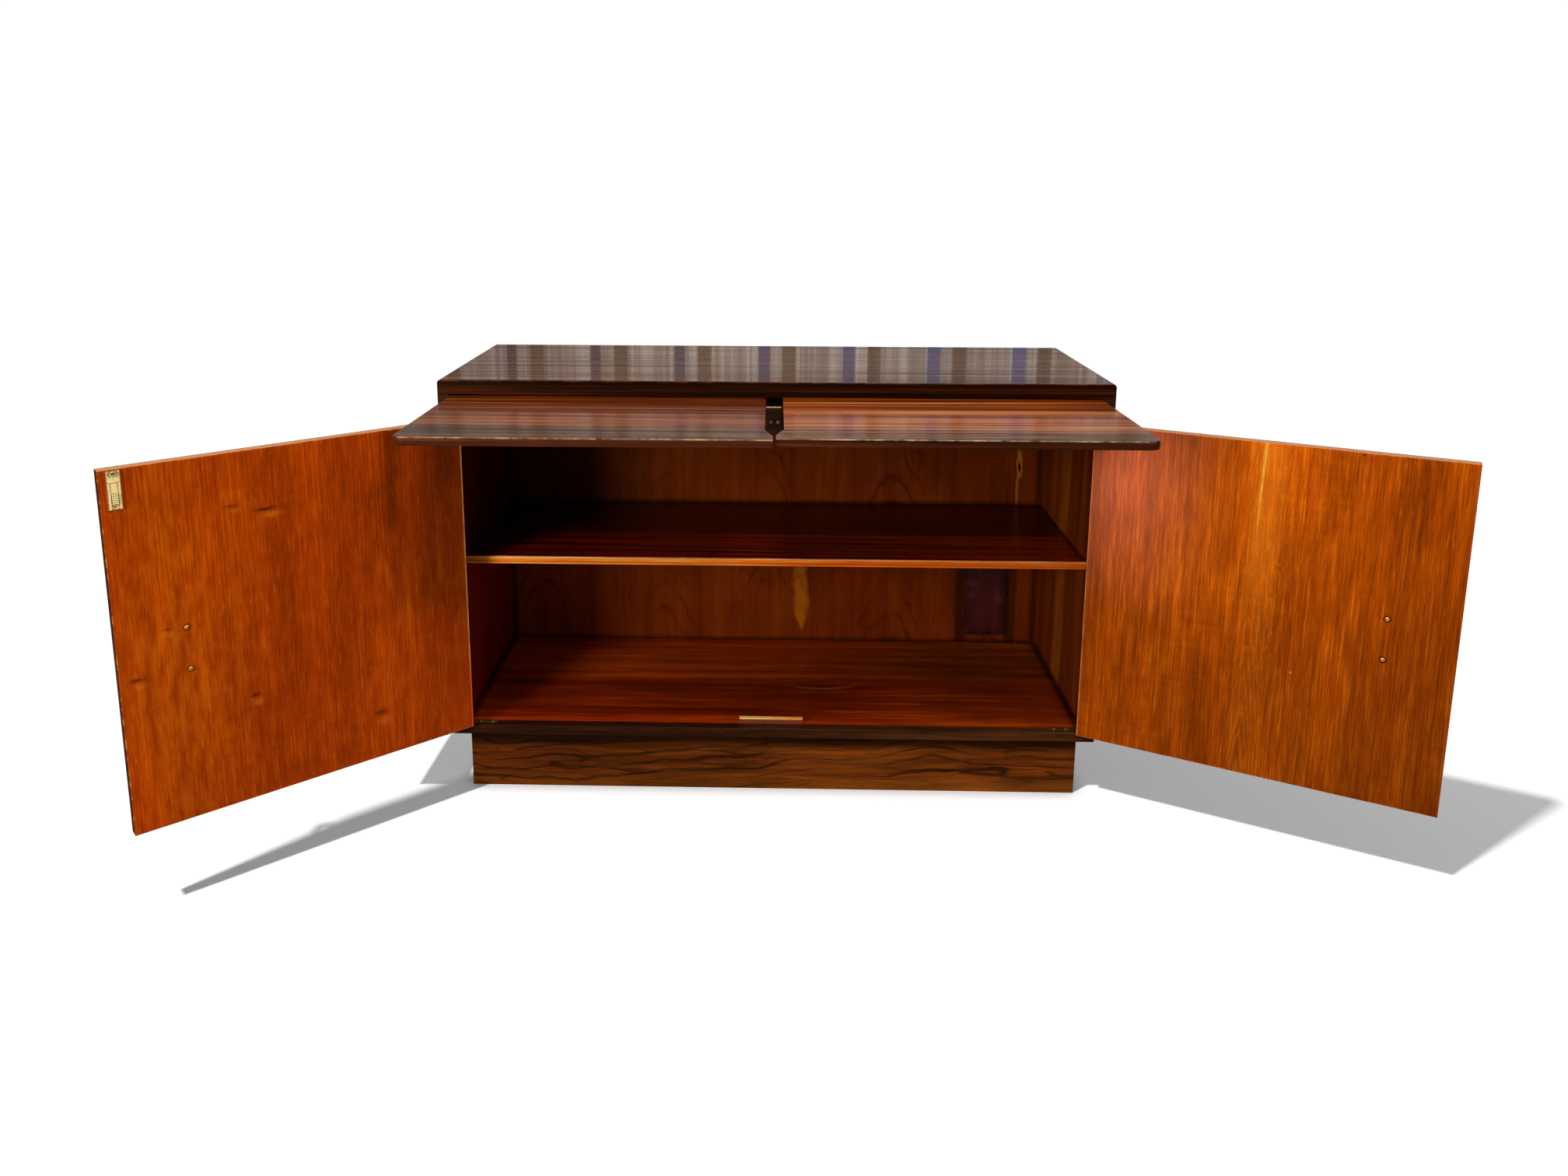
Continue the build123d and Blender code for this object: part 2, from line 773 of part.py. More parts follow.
def bolt_plate(door, screw_pockets):
    """Plate with raised sides and a bridge over the bolt near its upper end."""
    plate_half = length(bolt_u) / 2
    rib_half = 1.9
    bridge_w0 = bolt_w[1] - 17.5
    with BuildPart() as plate:
        add(bolt_block(door, plate_half, (0, bolt_plate_thick), bolt_w))
        for offset_u in around(0, plate_half - rib_half):
            add(bolt_block(door, rib_half, (0, 3.2), bolt_w, offset_u))
        add(bolt_block(door, plate_half, (2.9, 3.8), (bridge_w0, bridge_w0 + 8.5)))
        cut(screw_pockets)
    return plate.part


def sliding_bolt(door):
    """Flat bolt with a ridged knob near its lower end."""
    slot_w0 = bolt_w[1] - 6.4
    knob_w0 = bolt_w[0] + 9.0
    ridge_w0, ridge_pitch = bolt_w[0] + 11.5, 3.4
    with BuildPart() as bolt:
        add(bolt_block(door, 4.7, (1.3, 2.8), (bolt_w[0] + 8.0, bolt_w[1] - 0.5)))
        # slot through which the upper plate screw is reached
        cut(bolt_block(door, 2.8, (0.55, 3.55), (slot_w0, slot_w0 + 3.0)))
        add(bolt_block(door, 4.0, (2.0, 5.2), (knob_w0, knob_w0 + 15.0)))
        # grooves that leave finger ridges across the knob
        for k in range(4):
            cut(bolt_block(door, 6.0, (4.8, 5.8), around(ridge_w0 + ridge_pitch * k, 0.5)))
    return bolt.part


for side, tag in SIDES:
    door = Door(side, door_angle[tag])

    plate_screws, plate_pockets = countersunk_pair(
        [
            door.at(u, middle(door_plate_v), w, rotation)
            for u in (24.0, 44.0)
            for w, rotation in ((door_z0, UP), (door_z1, DOWN))
        ],
        (2.8, 1.4, 16),
    )
    save(plate_screws, f"hinge_screws_door_{tag}")
    save(door_hinge_plates(door, plate_pockets), f"hinge_plates_door_{tag}")

    # handle screws go through from the inside; the cutter's small head stays
    # outside the wood
    handle_places = [door.at(handle_u, door_thick, w, door.head_inside) for w in handle_w]
    handle_screws = screws_at(
        handle_places, domed, head_r=3.6, head_h=2.2, shank_r=2.0, total=28.0
    )
    handle_pockets = screws_at(
        handle_places, domed,
        head_r=1.0, head_h=0.5, shank_r=2.0, total=28.0, grow=0.1, slot=False,
    )
    save(handle_screws, f"handle_screws_{tag}")

    panel_pockets = [plate_pockets, handle_pockets]
    if tag == "left":
        bolt_screws, bolt_pockets = countersunk_pair(
            [
                door.at(bolt_mid_u, door_thick + bolt_plate_thick, w, door.head_inside)
                for w in (bolt_w[1] - 4.6, bolt_w[0] + 3.9)
            ],
            (1.7, 0.9, 11),
        )
        panel_pockets.append(bolt_pockets)
        save(bolt_screws, "bolt_plate_screws")
        save(bolt_plate(door, bolt_pockets), "bolt_plate")
        save(sliding_bolt(door), "bolt")

    save(door_panel(door, panel_pockets), f"door_panel_{tag}")
    save(door_facing(door, handle_pockets), f"door_facing_{tag}")
    save(bow_handle(door, handle_pockets), f"handle_{tag}")
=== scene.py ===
"""Two-door cabinet in mahogany and rosewood, doors open, with two pull-out leaves under the top.

The frame is in metres: X runs to the right, Y from front to back and Z up, with the
floor at z = 0. All surfaces are procedural and are laid out in each piece's rest frame.
"""

import json
import math
from functools import cached_property
from types import SimpleNamespace

import bpy
from mathutils import Matrix, Vector


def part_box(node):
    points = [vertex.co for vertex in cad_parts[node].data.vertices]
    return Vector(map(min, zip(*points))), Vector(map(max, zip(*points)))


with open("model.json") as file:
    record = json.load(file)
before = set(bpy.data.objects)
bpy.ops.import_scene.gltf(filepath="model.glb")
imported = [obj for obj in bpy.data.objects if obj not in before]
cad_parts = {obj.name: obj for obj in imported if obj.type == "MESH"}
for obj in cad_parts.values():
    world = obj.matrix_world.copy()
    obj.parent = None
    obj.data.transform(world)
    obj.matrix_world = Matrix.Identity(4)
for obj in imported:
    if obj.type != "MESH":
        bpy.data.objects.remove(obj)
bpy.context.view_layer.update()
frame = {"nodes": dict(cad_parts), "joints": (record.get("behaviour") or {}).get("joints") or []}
NODES = frame["nodes"]
JOINTS = {joint["name"]: joint for joint in frame["joints"]}
SCENE = bpy.context.scene

# ------------------------------------------------------------------ dimensions
top_lo, top_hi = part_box("top_panel")
Y_FRONT = top_lo.y  # plane of the closed doors
Z_TOP = top_hi.z
FLOOR_TOP = 0.1295  # upper face of the cabinet's bottom panel
SHELF_TOP = 0.446
INSIDE_X = 0.5735  # half the width between the side panels
INSIDE_DEPTH = 0.427  # from the door plane to the back panel
BACK_LEAF = 0.247  # width of one veneer leaf on the back panel
SIDE_HALF = 0.2175  # half the depth of a side panel

# Inner face of a door: heights, and distances from the hinge pivot
DOOR_BOTTOM, DOOR_TOP = 0.1325, 0.7194
DOOR_HINGE_EDGE, DOOR_FREE_EDGE = -0.004, 0.5725
DOOR_LEAF = 0.173  # width of one veneer leaf
SCREW_RADIUS = 0.0035
screws_lo, screws_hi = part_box("handle_screws_left")
HANDLE_HEIGHTS = (screws_lo.z + SCREW_RADIUS, screws_hi.z - SCREW_RADIUS)
HANDLE_REACH = 0.471

X, Y, Z = Vector((1, 0, 0)), Vector((0, 1, 0)), Vector((0, 0, 1))
UP, DOWN = (0, 0, 1), (0, 0, -1)
FRONT, BACK = (0, -1, 0), (0, 1, 0)
WARM = (1.0, 0.42, 0.10, 1.0)  # old shellac warms its own sheen


def srgb(*display):
    """0-255 display colour to scene-linear, with alpha."""
    linear = []
    for level in display:
        level = level / 255.0
        low = level <= 0.04045
        linear.append(level / 12.92 if low else ((level + 0.055) / 1.055) ** 2.4)
    return (*linear, 1.0)


def door_axes(tag):
    """Pivot, direction towards the free edge, direction towards the inner face."""
    joint = JOINTS["door_%s_hinge" % tag]
    angle = math.radians(-joint["range_deg"][0])
    side = -1 if tag == "left" else 1
    to_free = Vector((-side * math.cos(angle), -math.sin(angle), 0))
    to_inner = Vector((-to_free.y, to_free.x, 0)) * (-side)
    pivot = Vector(joint["pos_m"])
    pivot.z = 0
    return pivot, to_free, to_inner


# ------------------------------------------------------------- shader writing
class Value:
    """A shader socket used in arithmetic; each operation adds nodes to its tree."""

    def __init__(self, tree, socket):
        self.tree = tree
        self.socket = socket

    def __add__(self, other):
        return self.tree.math("ADD", self, other)

    def __radd__(self, other):
        return self.tree.math("ADD", other, self)

    def __sub__(self, other):
        return self.tree.math("SUBTRACT", self, other)

    def __rsub__(self, other):
        return self.tree.math("SUBTRACT", other, self)

    def __mul__(self, other):
        return self.tree.math("MULTIPLY", self, other)

    def __truediv__(self, other):
        return self.tree.math("DIVIDE", self, other)

    def __abs__(self):
        return self.tree.math("ABSOLUTE", self)

    def root(self):
        return self.tree.math("SQRT", self)

    def fract(self):
        return self.tree.math("FRACT", self)

    def remap(self, kind, start, end, first, last):
        node = self.tree.node("ShaderNodeMapRange", interpolation_type=kind)
        self.tree.put(node.inputs["Value"], self)
        ranges = (("From Min", start), ("From Max", end), ("To Min", first), ("To Max", last))
        for name, value in ranges:
            self.tree.put(node.inputs[name], value)
        return Value(self.tree, node.outputs["Result"])

    def ease(self, start, end, first=0.0, last=1.0):
        """Smooth step from first, where this is start, to last, where it is end."""
        return self.remap("SMOOTHSTEP", start, end, first, last)

    def fall(self, start, end):
        """Smooth step from 1 at start to 0 at end."""
        return self.ease(start, end, 1.0, 0.0)

    def linear(self, start, end, first, last):
        """Straight clamped ramp from first at start to last at end."""
        return self.remap("LINEAR", start, end, first, last)

    def near(self, centre, inner, outer):
        """1 within inner of the centre, 0 beyond outer."""
        return abs(self - centre).fall(inner, outer)

    def swing(self, amount):
        """A 0..1 noise turned into a wander about zero."""
        return (self - 0.5) * amount

    def between(self, low, high):
        """Number between low and high, with this as the mask."""
        node = self.tree.node("ShaderNodeMix", data_type="FLOAT")
        for index, value in ((0, self), (2, low), (3, high)):
            self.tree.put(node.inputs[index], value)
        return Value(self.tree, node.outputs[0])

    def ramp(self, places, *colors):
        """Colour ramp through display colours at the given places."""
        node = self.tree.node("ShaderNodeValToRGB")
        elements = node.color_ramp.elements
        while len(elements) > 1:
            elements.remove(elements[-1])
        elements[0].position = places[0]
        elements[0].color = srgb(*colors[0])
        for place, color in zip(places[1:], colors[1:]):
            elements.new(place).color = srgb(*color)
        self.tree.put(node.inputs[0], self)
        return Value(self.tree, node.outputs[0])

    # The methods below are for colours.
    def times(self, *factors):
        return self.tree.vector("MULTIPLY", self, factors)

    def plus(self, *amounts):
        return self.tree.vector("ADD", self, amounts)

    def gain(self, factor):
        return self.tree.vector("SCALE", self, scale=factor)

    def mix(self, mask, other):
        return self.tree.mix(mask, self, other)

    def paint(self, mask, *display):
        """Mix towards a display colour."""
        return self.mix(mask, srgb(*display))

    def darken(self, mask, factor):
        """Mix towards this colour times a factor."""
        return self.mix(mask, self.gain(factor))

    def fade(self, mask, factor):
        """Gain that goes straight from 1 to the factor as the mask rises."""
        return self.gain(mask.linear(0.0, 1.0, 1.0, factor))


class Tree:
    """A new material and the means to write its nodes as expressions."""

    def __init__(self, name):
        self.mat = bpy.data.materials.new(name)
        self.mat.use_nodes = True
        self.nodes = self.mat.node_tree.nodes
        for node in list(self.nodes):
            self.nodes.remove(node)
        self.out = self.node("ShaderNodeOutputMaterial")

    def node(self, kind, **settings):
        node = self.nodes.new(kind)
        for name, value in settings.items():
            setattr(node, name, value)
        return node

    def link(self, output, socket):
        self.mat.node_tree.links.new(output, socket)

    def put(self, socket, value):
        """Link a Value to the socket, or set it to a constant."""
        if isinstance(value, Value):
            self.link(value.socket, socket)
        else:
            socket.default_value = value

    def show(self, shader):
        self.link(shader.outputs[0], self.out.inputs["Surface"])

    def math(self, operation, *values):
        node = self.node("ShaderNodeMath", operation=operation)
        for index, value in enumerate(values):
            self.put(node.inputs[index], value)
        return Value(self, node.outputs[0])

    def vector(self, operation, first, second=None, scale=None):
        node = self.node("ShaderNodeVectorMath", operation=operation)
        self.put(node.inputs[0], first)
        if second is not None:
            self.put(node.inputs[1], second)
        if scale is not None:
            self.put(node.inputs["Scale"], scale)
        output = "Value" if operation == "DOT_PRODUCT" else "Vector"
        return Value(self, node.outputs[output])

    def xyz(self, x, y, z):
        node = self.node("ShaderNodeCombineXYZ")
        for index, value in enumerate((x, y, z)):
            self.put(node.inputs[index], value)
        return Value(self, node.outputs[0])

    def split(self):
        """The x, y and z of the object position."""
        node = self.node("ShaderNodeSeparateXYZ")
        self.put(node.inputs[0], self.position)
        return [Value(self, output) for output in node.outputs]

    @cached_property
    def position(self):
        return Value(self, self.node("ShaderNodeTexCoord").outputs["Object"])

    @cached_property
    def normal(self):
        """True normal turned back into the rest frame of the piece."""
        geometry = self.node("ShaderNodeNewGeometry")
        node = self.node(
            "ShaderNodeVectorTransform",
            vector_type="NORMAL", convert_from="WORLD", convert_to="OBJECT",
        )
        self.link(geometry.outputs["True Normal"], node.inputs[0])
        return Value(self, node.outputs[0])

    def facing(self, direction, start, end):
        """Mask of the faces that look in a direction, by the cosine to it."""
        return self.vector("DOT_PRODUCT", self.normal, tuple(direction)).ease(start, end)

    def noise(self, place, scale=1.0, detail=2.0, rough=0.5, dist=0.0, w=None):
        """Noise, 0..1, at a vector or at three coordinates."""
        if isinstance(place, tuple):
            place = self.xyz(*place)
        size = "3D" if w is None else "4D"
        node = self.node("ShaderNodeTexNoise", noise_dimensions=size)
        self.put(node.inputs["Vector"], place)
        if w is not None:
            self.put(node.inputs["W"], w)
        node.inputs["Scale"].default_value = scale
        node.inputs["Detail"].default_value = detail
        node.inputs["Roughness"].default_value = rough
        node.inputs["Distortion"].default_value = dist
        return Value(self, node.outputs[0])

    def cloud(self, size, **options):
        """Noise with the same scale in all directions."""
        return self.noise(self.vector("SCALE", self.position, scale=size), **options)

    def white(self, value):
        """A random number for every whole value."""
        node = self.node("ShaderNodeTexWhiteNoise", noise_dimensions="1D")
        self.put(node.inputs["W"], value)
        return Value(self, node.outputs["Value"])

    def occlusion(self, distance, samples):
        node = self.node("ShaderNodeAmbientOcclusion", samples=samples)
        node.inputs["Distance"].default_value = distance
        return Value(self, node.outputs["AO"])

    def mix(self, mask, first, second):
        node = self.node("ShaderNodeMix", data_type="RGBA", blend_type="MIX")
        for index, value in ((0, mask), (6, first), (7, second)):
            self.put(node.inputs[index], value)
        return Value(self, node.outputs[2])

    def bump(self, height, strength, dist, normal=None):
        node = self.node("ShaderNodeBump")
        node.inputs["Strength"].default_value = strength
        node.inputs["Distance"].default_value = dist
        self.put(node.inputs["Height"], height)
        if normal is not None:
            self.put(node.inputs["Normal"], normal)
        return Value(self, node.outputs[0])

    def surface(self, color, rough, spec, metallic=0.0, bump=None,
                coat=None, coat_rough=None, tint=None):
        node = self.node("ShaderNodeBsdfPrincipled")
        values = {
            "Base Color": color, "Roughness": rough, "Metallic": metallic, "IOR": 1.5,
            "Specular IOR Level": spec, "Normal": bump,
            "Coat Weight": coat, "Coat Roughness": coat_rough, "Specular Tint": tint,
        }
        for name, value in values.items():
            if value is not None:
                self.put(node.inputs[name], value)
        self.show(node)
        return node


def lesser(first, second):
    return first.tree.math("MINIMUM", first, second)


def greater(first, second):
    return first.tree.math("MAXIMUM", first, second)


class Board:
    """Distances, in metres, along the grain, across it and through the board."""

    def __init__(self, tree, origin, axes):
        self.tree = tree
        self.origin = origin
        self.axes = axes

    @cached_property
    def place(self):
        return self.tree.vector("SUBTRACT", self.tree.position, tuple(self.origin))

    def distance(self, axis):
        return self.tree.vector("DOT_PRODUCT", self.place, tuple(self.axes[axis]))

    @cached_property
    def along(self):
        return self.distance(0)

    @cached_property
    def across(self):
        return self.distance(1)

    @cached_property
    def through(self):
        return self.distance(2)

    def bent(self, across):
        """The same board with another distance across."""
        other = Board(self.tree, self.origin, self.axes)
        other.along, other.across, other.through = self.along, across, self.through
        return other

    def point(self, scales, seed=None):
        """Position scaled along, across and, if given, through the board."""
        third = seed
        if len(scales) == 3:
            third = self.through * scales[2]
            if seed is not None:
                third = third + seed
        return self.tree.xyz(self.along * scales[0], self.across * scales[1], third)

    def noise(self, scales, seed=None, **options):
        return self.tree.noise(self.point(scales, seed), **options)


# --------------------------------------------------------------- wood figures
class StraightGrain:
    """Quarter-cut veneer: broad ribbons, fine lines and short dark pores, each 0..1."""

    def __init__(self, board, seed, wander):
        slow = board.noise((2.2, 5.0), seed + 3.1)
        quick = board.noise((9.0, 16.0), seed + 7.7)
        across = board.across + slow.swing(wander * 6) + quick.swing(wander)
        self.board = board.bent(across)
        self.seed = seed

    @cached_property
    def ribbon(self):
        return self.board.noise((1.1, 42.0, 30.0), self.seed, detail=3.0, rough=0.55)

    @cached_property
    def lines(self):
        return self.board.noise((4.0, 330.0, 200.0), self.seed + 11, detail=3.0, rough=0.6)

    @cached_property
    def pore(self):
        return self.board.noise((38.0, 1500.0, 900.0), self.seed + 5, rough=0.55)

    @cached_property
    def pores(self):
        """Mask of the dark pores."""
        return self.pore.ease(0.60, 0.74)

    def blend(self, ribbon, lines):
        return self.ribbon * ribbon + self.lines * lines


def vein_field(point, warp):
    """A stretched field whose contours are the veins of figured rosewood."""
    tree = point.tree
    drift = tree.noise(point, scale=0.8, detail=3.0, rough=0.55)
    shift = tree.xyz(drift * (warp * 1.3), drift * warp, 0.0)
    return tree.noise(tree.vector("ADD", point, shift), rough=0.45)


def veins(board, seed, scales, count, width, warp):
    """Thin contour lines of a vein field; gives the mask and the field."""
    field = vein_field(board.point((*scales, scales[1]), seed), warp)
    phase = (field * count).fract()
    return abs(phase - 0.5).ease(0.5 - width, 0.5), field


def spot(along, across, centre_along, centre_across, half_along, half_across):
    """Soft elliptical spot, 1 at its centre."""
    first = (along - centre_along) * (1.0 / half_along)
    second = (across - centre_across) * (1.0 / half_across)
    return (first * first + second * second).root().fall(0.0, 1.0)


def leaf_number(distance, first, pitch):
    """Which veneer leaf a distance lies in."""
    return distance.tree.math("FLOOR", (distance - first) * (1.0 / pitch))


def mirrored(distance, width):
    """Distance that runs back and forth, leaf by leaf."""
    return distance.tree.math("PINGPONG", distance, width)


# ----------------------------------------------------------------- inner doors
# weights: share of each figure in the tone, less the offset
# deep: gain of the palest and the darkest broad stripes
# chips: noise frequency and its two fixed coordinates; chip_range: its smooth step
DOORS = {
    "left": SimpleNamespace(
        seed=2.0, tone_seed=3.7, first_seam=0.152, mottle=(22.0, 74.0),
        shades=((116, 38, 1), (174, 62, 1), (228, 106, 8)),
        weights=dict(lines=0.36, hair=0.40, mottle=0.34, ripple=0.08), offset=0.315,
        deep=(0.84, 1.12), tint=(0.97, 0.87, 0.7),
        pale_line=(226, 132, 62), hinge_highlight_width=(0.0010, 0.0046), hinge_gaps=(0.34, 0.58, 0.45, 1.0),
        chips=(30.0, 2.0, 6.0), chip_range=(0.48, 0.60, 0.0, 1.0), chip_color=(214, 130, 40),
    ),
    "right": SimpleNamespace(
        seed=21.0, tone_seed=8.3, first_seam=0.096, mottle=(12.0, 96.0),
        shades=((104, 38, 1), (172, 72, 2), (238, 126, 14)),
        weights=dict(lines=0.44, hair=0.48, mottle=0.38, ripple=0.12), offset=0.45,
        deep=(0.80, 1.15), tint=(1.07, 1.04, 0.9),
        pale_line=(224, 128, 84), hinge_highlight_width=(0.0006, 0.0034), hinge_gaps=(0.40, 0.60, 0.15, 0.75),
        chips=(16.0, 5.0, 1.0), chip_range=(0.40, 0.60, 0.1, 0.9), chip_color=(200, 74, 30),
    ),
}
# Gain towards the corners of the left door: reach from and to, height from and to, gain
LEFT_CORNERS = (
    (0.16, 0.02, 0.36, 0.22, 0.84),
    (0.38, 0.52, 0.50, 0.66, 0.86),
    (0.36, 0.50, 0.34, 0.20, 1.12),
)
# Small knots of the left door: height, reach, half height, half width, strength
LEFT_KNOTS = (
    (0.620, 0.340, 0.0050, 0.030, 1.0),
    (0.633, 0.392, 0.0035, 0.018, 0.6),
    (0.311, 0.378, 0.0060, 0.014, 0.9),
    (0.216, 0.171, 0.0080, 0.020, 0.7),
    (0.385, 0.549, 0.0050, 0.016, 0.8),
    (0.455, 0.500, 0.0040, 0.014, 0.5),
)


def left_door_marks(board, color, mottle):
    """Darker leaf near the hinge with the pull-out leaf's shadow painted over it, broad changes
    of tone and small knots.
    """
    z, reach = board.along, board.across
    seed = DOORS["left"].seed
    # darker veneer leaf by the hinge, with the pull-out leaf's shadow painted over its upper
    # part
    near_hinge = reach.fall(0.132, 0.156)
    lower_limit = 0.335 + reach * 0.42
    raised = (z - lower_limit).ease(-0.025, 0.045)
    tall = z.ease(0.42, 0.66, 0.50, 1.12)
    smoke = board.noise((6.0, 14.0), seed + 31, detail=3.0, rough=0.55)
    smoke = smoke.ease(0.36, 0.64, 0.45, 1.0)
    color = color.mix(near_hinge * raised * (tall * smoke * 0.66), color.times(0.36, 0.42, 0.6))
    # a smoky cloud over the seam, high up
    cloud = spot(z, reach, 0.560, 0.140, 0.125, 0.062) * smoke.ease(0.45, 1.0, 0.4, 1.0)
    color = color.mix(cloud * 0.50, color.times(0.46, 0.48, 0.7))
    for reach_from, reach_to, z_from, z_to, gain in LEFT_CORNERS:
        color = color.fade(reach.ease(reach_from, reach_to) * z.ease(z_from, z_to), gain)
    # a dull stripe down the middle
    stripe = reach.near(0.305 + (z - 0.4) * 0.06, 0.0, 0.030) * z.ease(0.66, 0.50)
    color = color.mix(stripe * 0.35, color.times(0.55, 0.55, 0.6))
    # golden warmth by the free edge
    warm = (abs(reach - 0.50) + abs(z - 0.34) * 0.30).fall(0.02, 0.16)
    color = color.paint(warm * mottle.ease(0.35, 0.65, 0.2, 1.0) * 0.40, 206, 100, 8)
    # red glow low on the hinge side
    glow = reach.fall(-0.004, 0.07) * z.ease(0.42, 0.16)
    color = color.paint(glow * 0.35, 215, 70, 6)
    for height, out, half_height, half_width, strength in LEFT_KNOTS:
        wobble = board.noise((60.0, 60.0), 4.0)
        bent_z = z + wobble.swing(0.006)
        knot = spot(bent_z, reach, height, out, half_height, half_width)
        color = color.paint(knot * strength, 74, 24, 2)
        # a paler patch just below each knot
        lit = spot(
            z, reach, height - half_height * 2.2, out - half_width * 0.3,
            half_height * 1.8, half_width * 0.9,
        )
        color = color.paint(lit * (strength * 0.38), 236, 126, 30)
    return color


def right_door_marks(board, color):
    """Reddish upper corner with a painted pinkish sheen, painted light that fades downwards,
    golden sapwood streak, flame figure and small marks.
    """
    tree, z, reach = board.tree, board.along, board.across
    # painted sheen: the upper corner by the hinge turns pinkish and paler
    red = reach.fall(0.02, 0.24) * z.ease(0.34, 0.66)
    low_hinge = reach.ease(0.20, 0.04) * z.ease(0.40, 0.20)
    color = color.fade(low_hinge, 1.14)
    color = color.mix(red * 0.80, color.times(1.16, 0.98, 1.0).plus(0.070, 0.050, 0.048))
    # paler again round the sapwood streak
    pale = reach.near(0.285, 0.01, 0.10) * z.ease(0.46, 0.66)
    color = color.mix(pale * 0.6, color.times(1.42, 1.42, 1.6))
    # painted light: brighter over the upper half, duller towards the bottom and the free edge
    color = color.gain(z.ease(0.20, 0.66, 0.78, 1.18))
    color = color.gain((reach + (0.55 - z) * 0.35).ease(0.34, 0.62, 1.0, 0.82))
    # golden sapwood streak by the middle seam, fading downwards
    wobble = tree.noise((z * 6.0, 0.5, 2.0), detail=3.0)
    centre = 0.2705 + wobble.swing(0.010) + z.linear(0.40, 0.72, -0.006, 0.002)
    width = z.ease(0.52, 0.72, 0.0014, 0.0044)
    breaks = tree.noise((z * 24.0, 2.0, 2.0), detail=3.0, rough=0.6)
    breaks = breaks.ease(0.34, 0.58, 0.35, 1.0)
    streak = reach.near(centre, 0.0, width) * z.ease(0.50, 0.66, 0.06, 1.0) * breaks
    halo = reach.near(centre + 0.012, 0.006, 0.036) * z.ease(0.36, 0.56, 0.15, 1.0)
    color = color.paint(halo * 0.34, 232, 128, 24)
    color = color.paint(streak * 0.9, 255, 184, 70)
    # small curled figure beside it
    curl = board.noise((60.0, 110.0), 71.0, detail=3.0, rough=0.6, dist=1.2)
    area = reach.near(0.285, 0.004, 0.060) * z.ease(0.30, 0.52, 0.25, 1.0)
    color = color.paint(area * curl.ease(0.52, 0.66, 0.0, 0.30), 240, 136, 34)
    color = color.darken(area * curl.ease(0.46, 0.34, 0.0, 0.24), 0.66)
    # flame figure round the middle seam
    from_seam = abs(reach - (DOORS["right"].first_seam + DOOR_LEAF))
    ragged = board.noise((22.0, 70.0), 9.0, detail=3.0)
    arc = z * 34.0 + (from_seam * from_seam + 0.00002).root() * 300.0 + ragged * 3.2
    flame = tree.math("SINE", arc * 3.4)
    patches = board.noise((5.0, 20.0), 3.0).ease(0.35, 0.65, 0.05, 0.5)
    area = from_seam.fall(0.008, 0.040) * patches
    color = color.paint(area * flame.ease(0.1, 1.0, 0.0, 0.55), 226, 118, 26)
    color = color.darken(area * flame.ease(-0.2, -1.0, 0.0, 0.30), 0.6)
    # dark line beside it
    line = reach.near(0.250 + wobble.swing(0.02), 0.0, 0.009) * z.ease(0.62, 0.50)
    color = color.darken(line * 0.36, 0.62)
    # knock at the top edge and a pale fleck
    color = color.paint(spot(z, reach, 0.7155, 0.4145, 0.0034, 0.0048) * 0.9, 40, 16, 6)
    return color.paint(spot(z, reach, 0.3324, 0.3398, 0.0028, 0.0028) * 0.8, 236, 160, 70)


def door_edges(board, lines, to_free):
    """Colour of the narrow faces: dark free edge, pale top painted as a highlight, brown hinge
    edge.
    """
    tree = board.tree
    top = tree.facing(UP, 0.5, 0.8)
    hinge = tree.facing(-to_free, 0.5, 0.8)
    point = tree.xyz(board.along * 6.0, board.through * 140.0, board.across * 140.0 + 5.0)
    field = vein_field(point, warp=0.6)
    free_color = field.ramp((0.3, 0.55, 0.8), (34, 13, 7), (66, 28, 13), (96, 44, 20))
    # painted highlight along the top edge
    top_highlight_color = lines.ramp((0.3, 0.7), (206, 120, 72), (250, 190, 140))
    hinge_color = lines.ramp((0.3, 0.7), (120, 52, 16), (176, 92, 40))
    return free_color.mix(top, top_highlight_color).mix(hinge, hinge_color)


def door_wear_and_highlights(board, color, inner, tag):
    """Rubbed arrises round the inner face, with a painted highlight along them and most of all
    along the hinge arris.
    """
    tree, z, reach = board.tree, board.along, board.across
    look = DOORS[tag]
    rim_width = 0.0022
    to_edge = lesser(lesser(z - DOOR_BOTTOM, DOOR_TOP - z), reach - DOOR_HINGE_EDGE)
    ragged = tree.cloud(55.0, detail=4.0, rough=0.65)
    ragged = ragged.ease(0.3, 0.75, rim_width * 0.25, rim_width * 1.6)
    # rims round the inner face: rubbed wood with a painted highlight on it
    pale_line = to_edge.fall(0.0, ragged)
    color = color.paint(pale_line * inner * 0.65, *look.pale_line)
    # painted highlight along the rounded hinge arris, broken in places
    gaps = tree.noise((z * 18.0, 3.0, 6.0), detail=3.0, rough=0.65).ease(*look.hinge_gaps)
    hinge_highlight = (reach - DOOR_HINGE_EDGE).fall(*look.hinge_highlight_width)
    hinge_highlight_color = srgb(240, 150, 90)
    if tag == "left":
        low = z.ease(0.30, 0.20, 0.0, 0.85)
        hinge_highlight_color = tree.mix(low, srgb(255, 178, 84), srgb(236, 66, 20))
    color = color.mix(hinge_highlight * inner * gaps, hinge_highlight_color)
    # chips along the free arris
    frequency, second, third = look.chips
    chips = tree.noise((z * frequency, second, third), detail=3.0, rough=0.7)
    chips = chips.ease(*look.chip_range)
    free = (DOOR_FREE_EDGE - reach).fall(0.0, 0.0024) * chips
    free = free * board.through.ease(0.0152, 0.0178)
    return color.paint(free * 0.8, *look.chip_color)


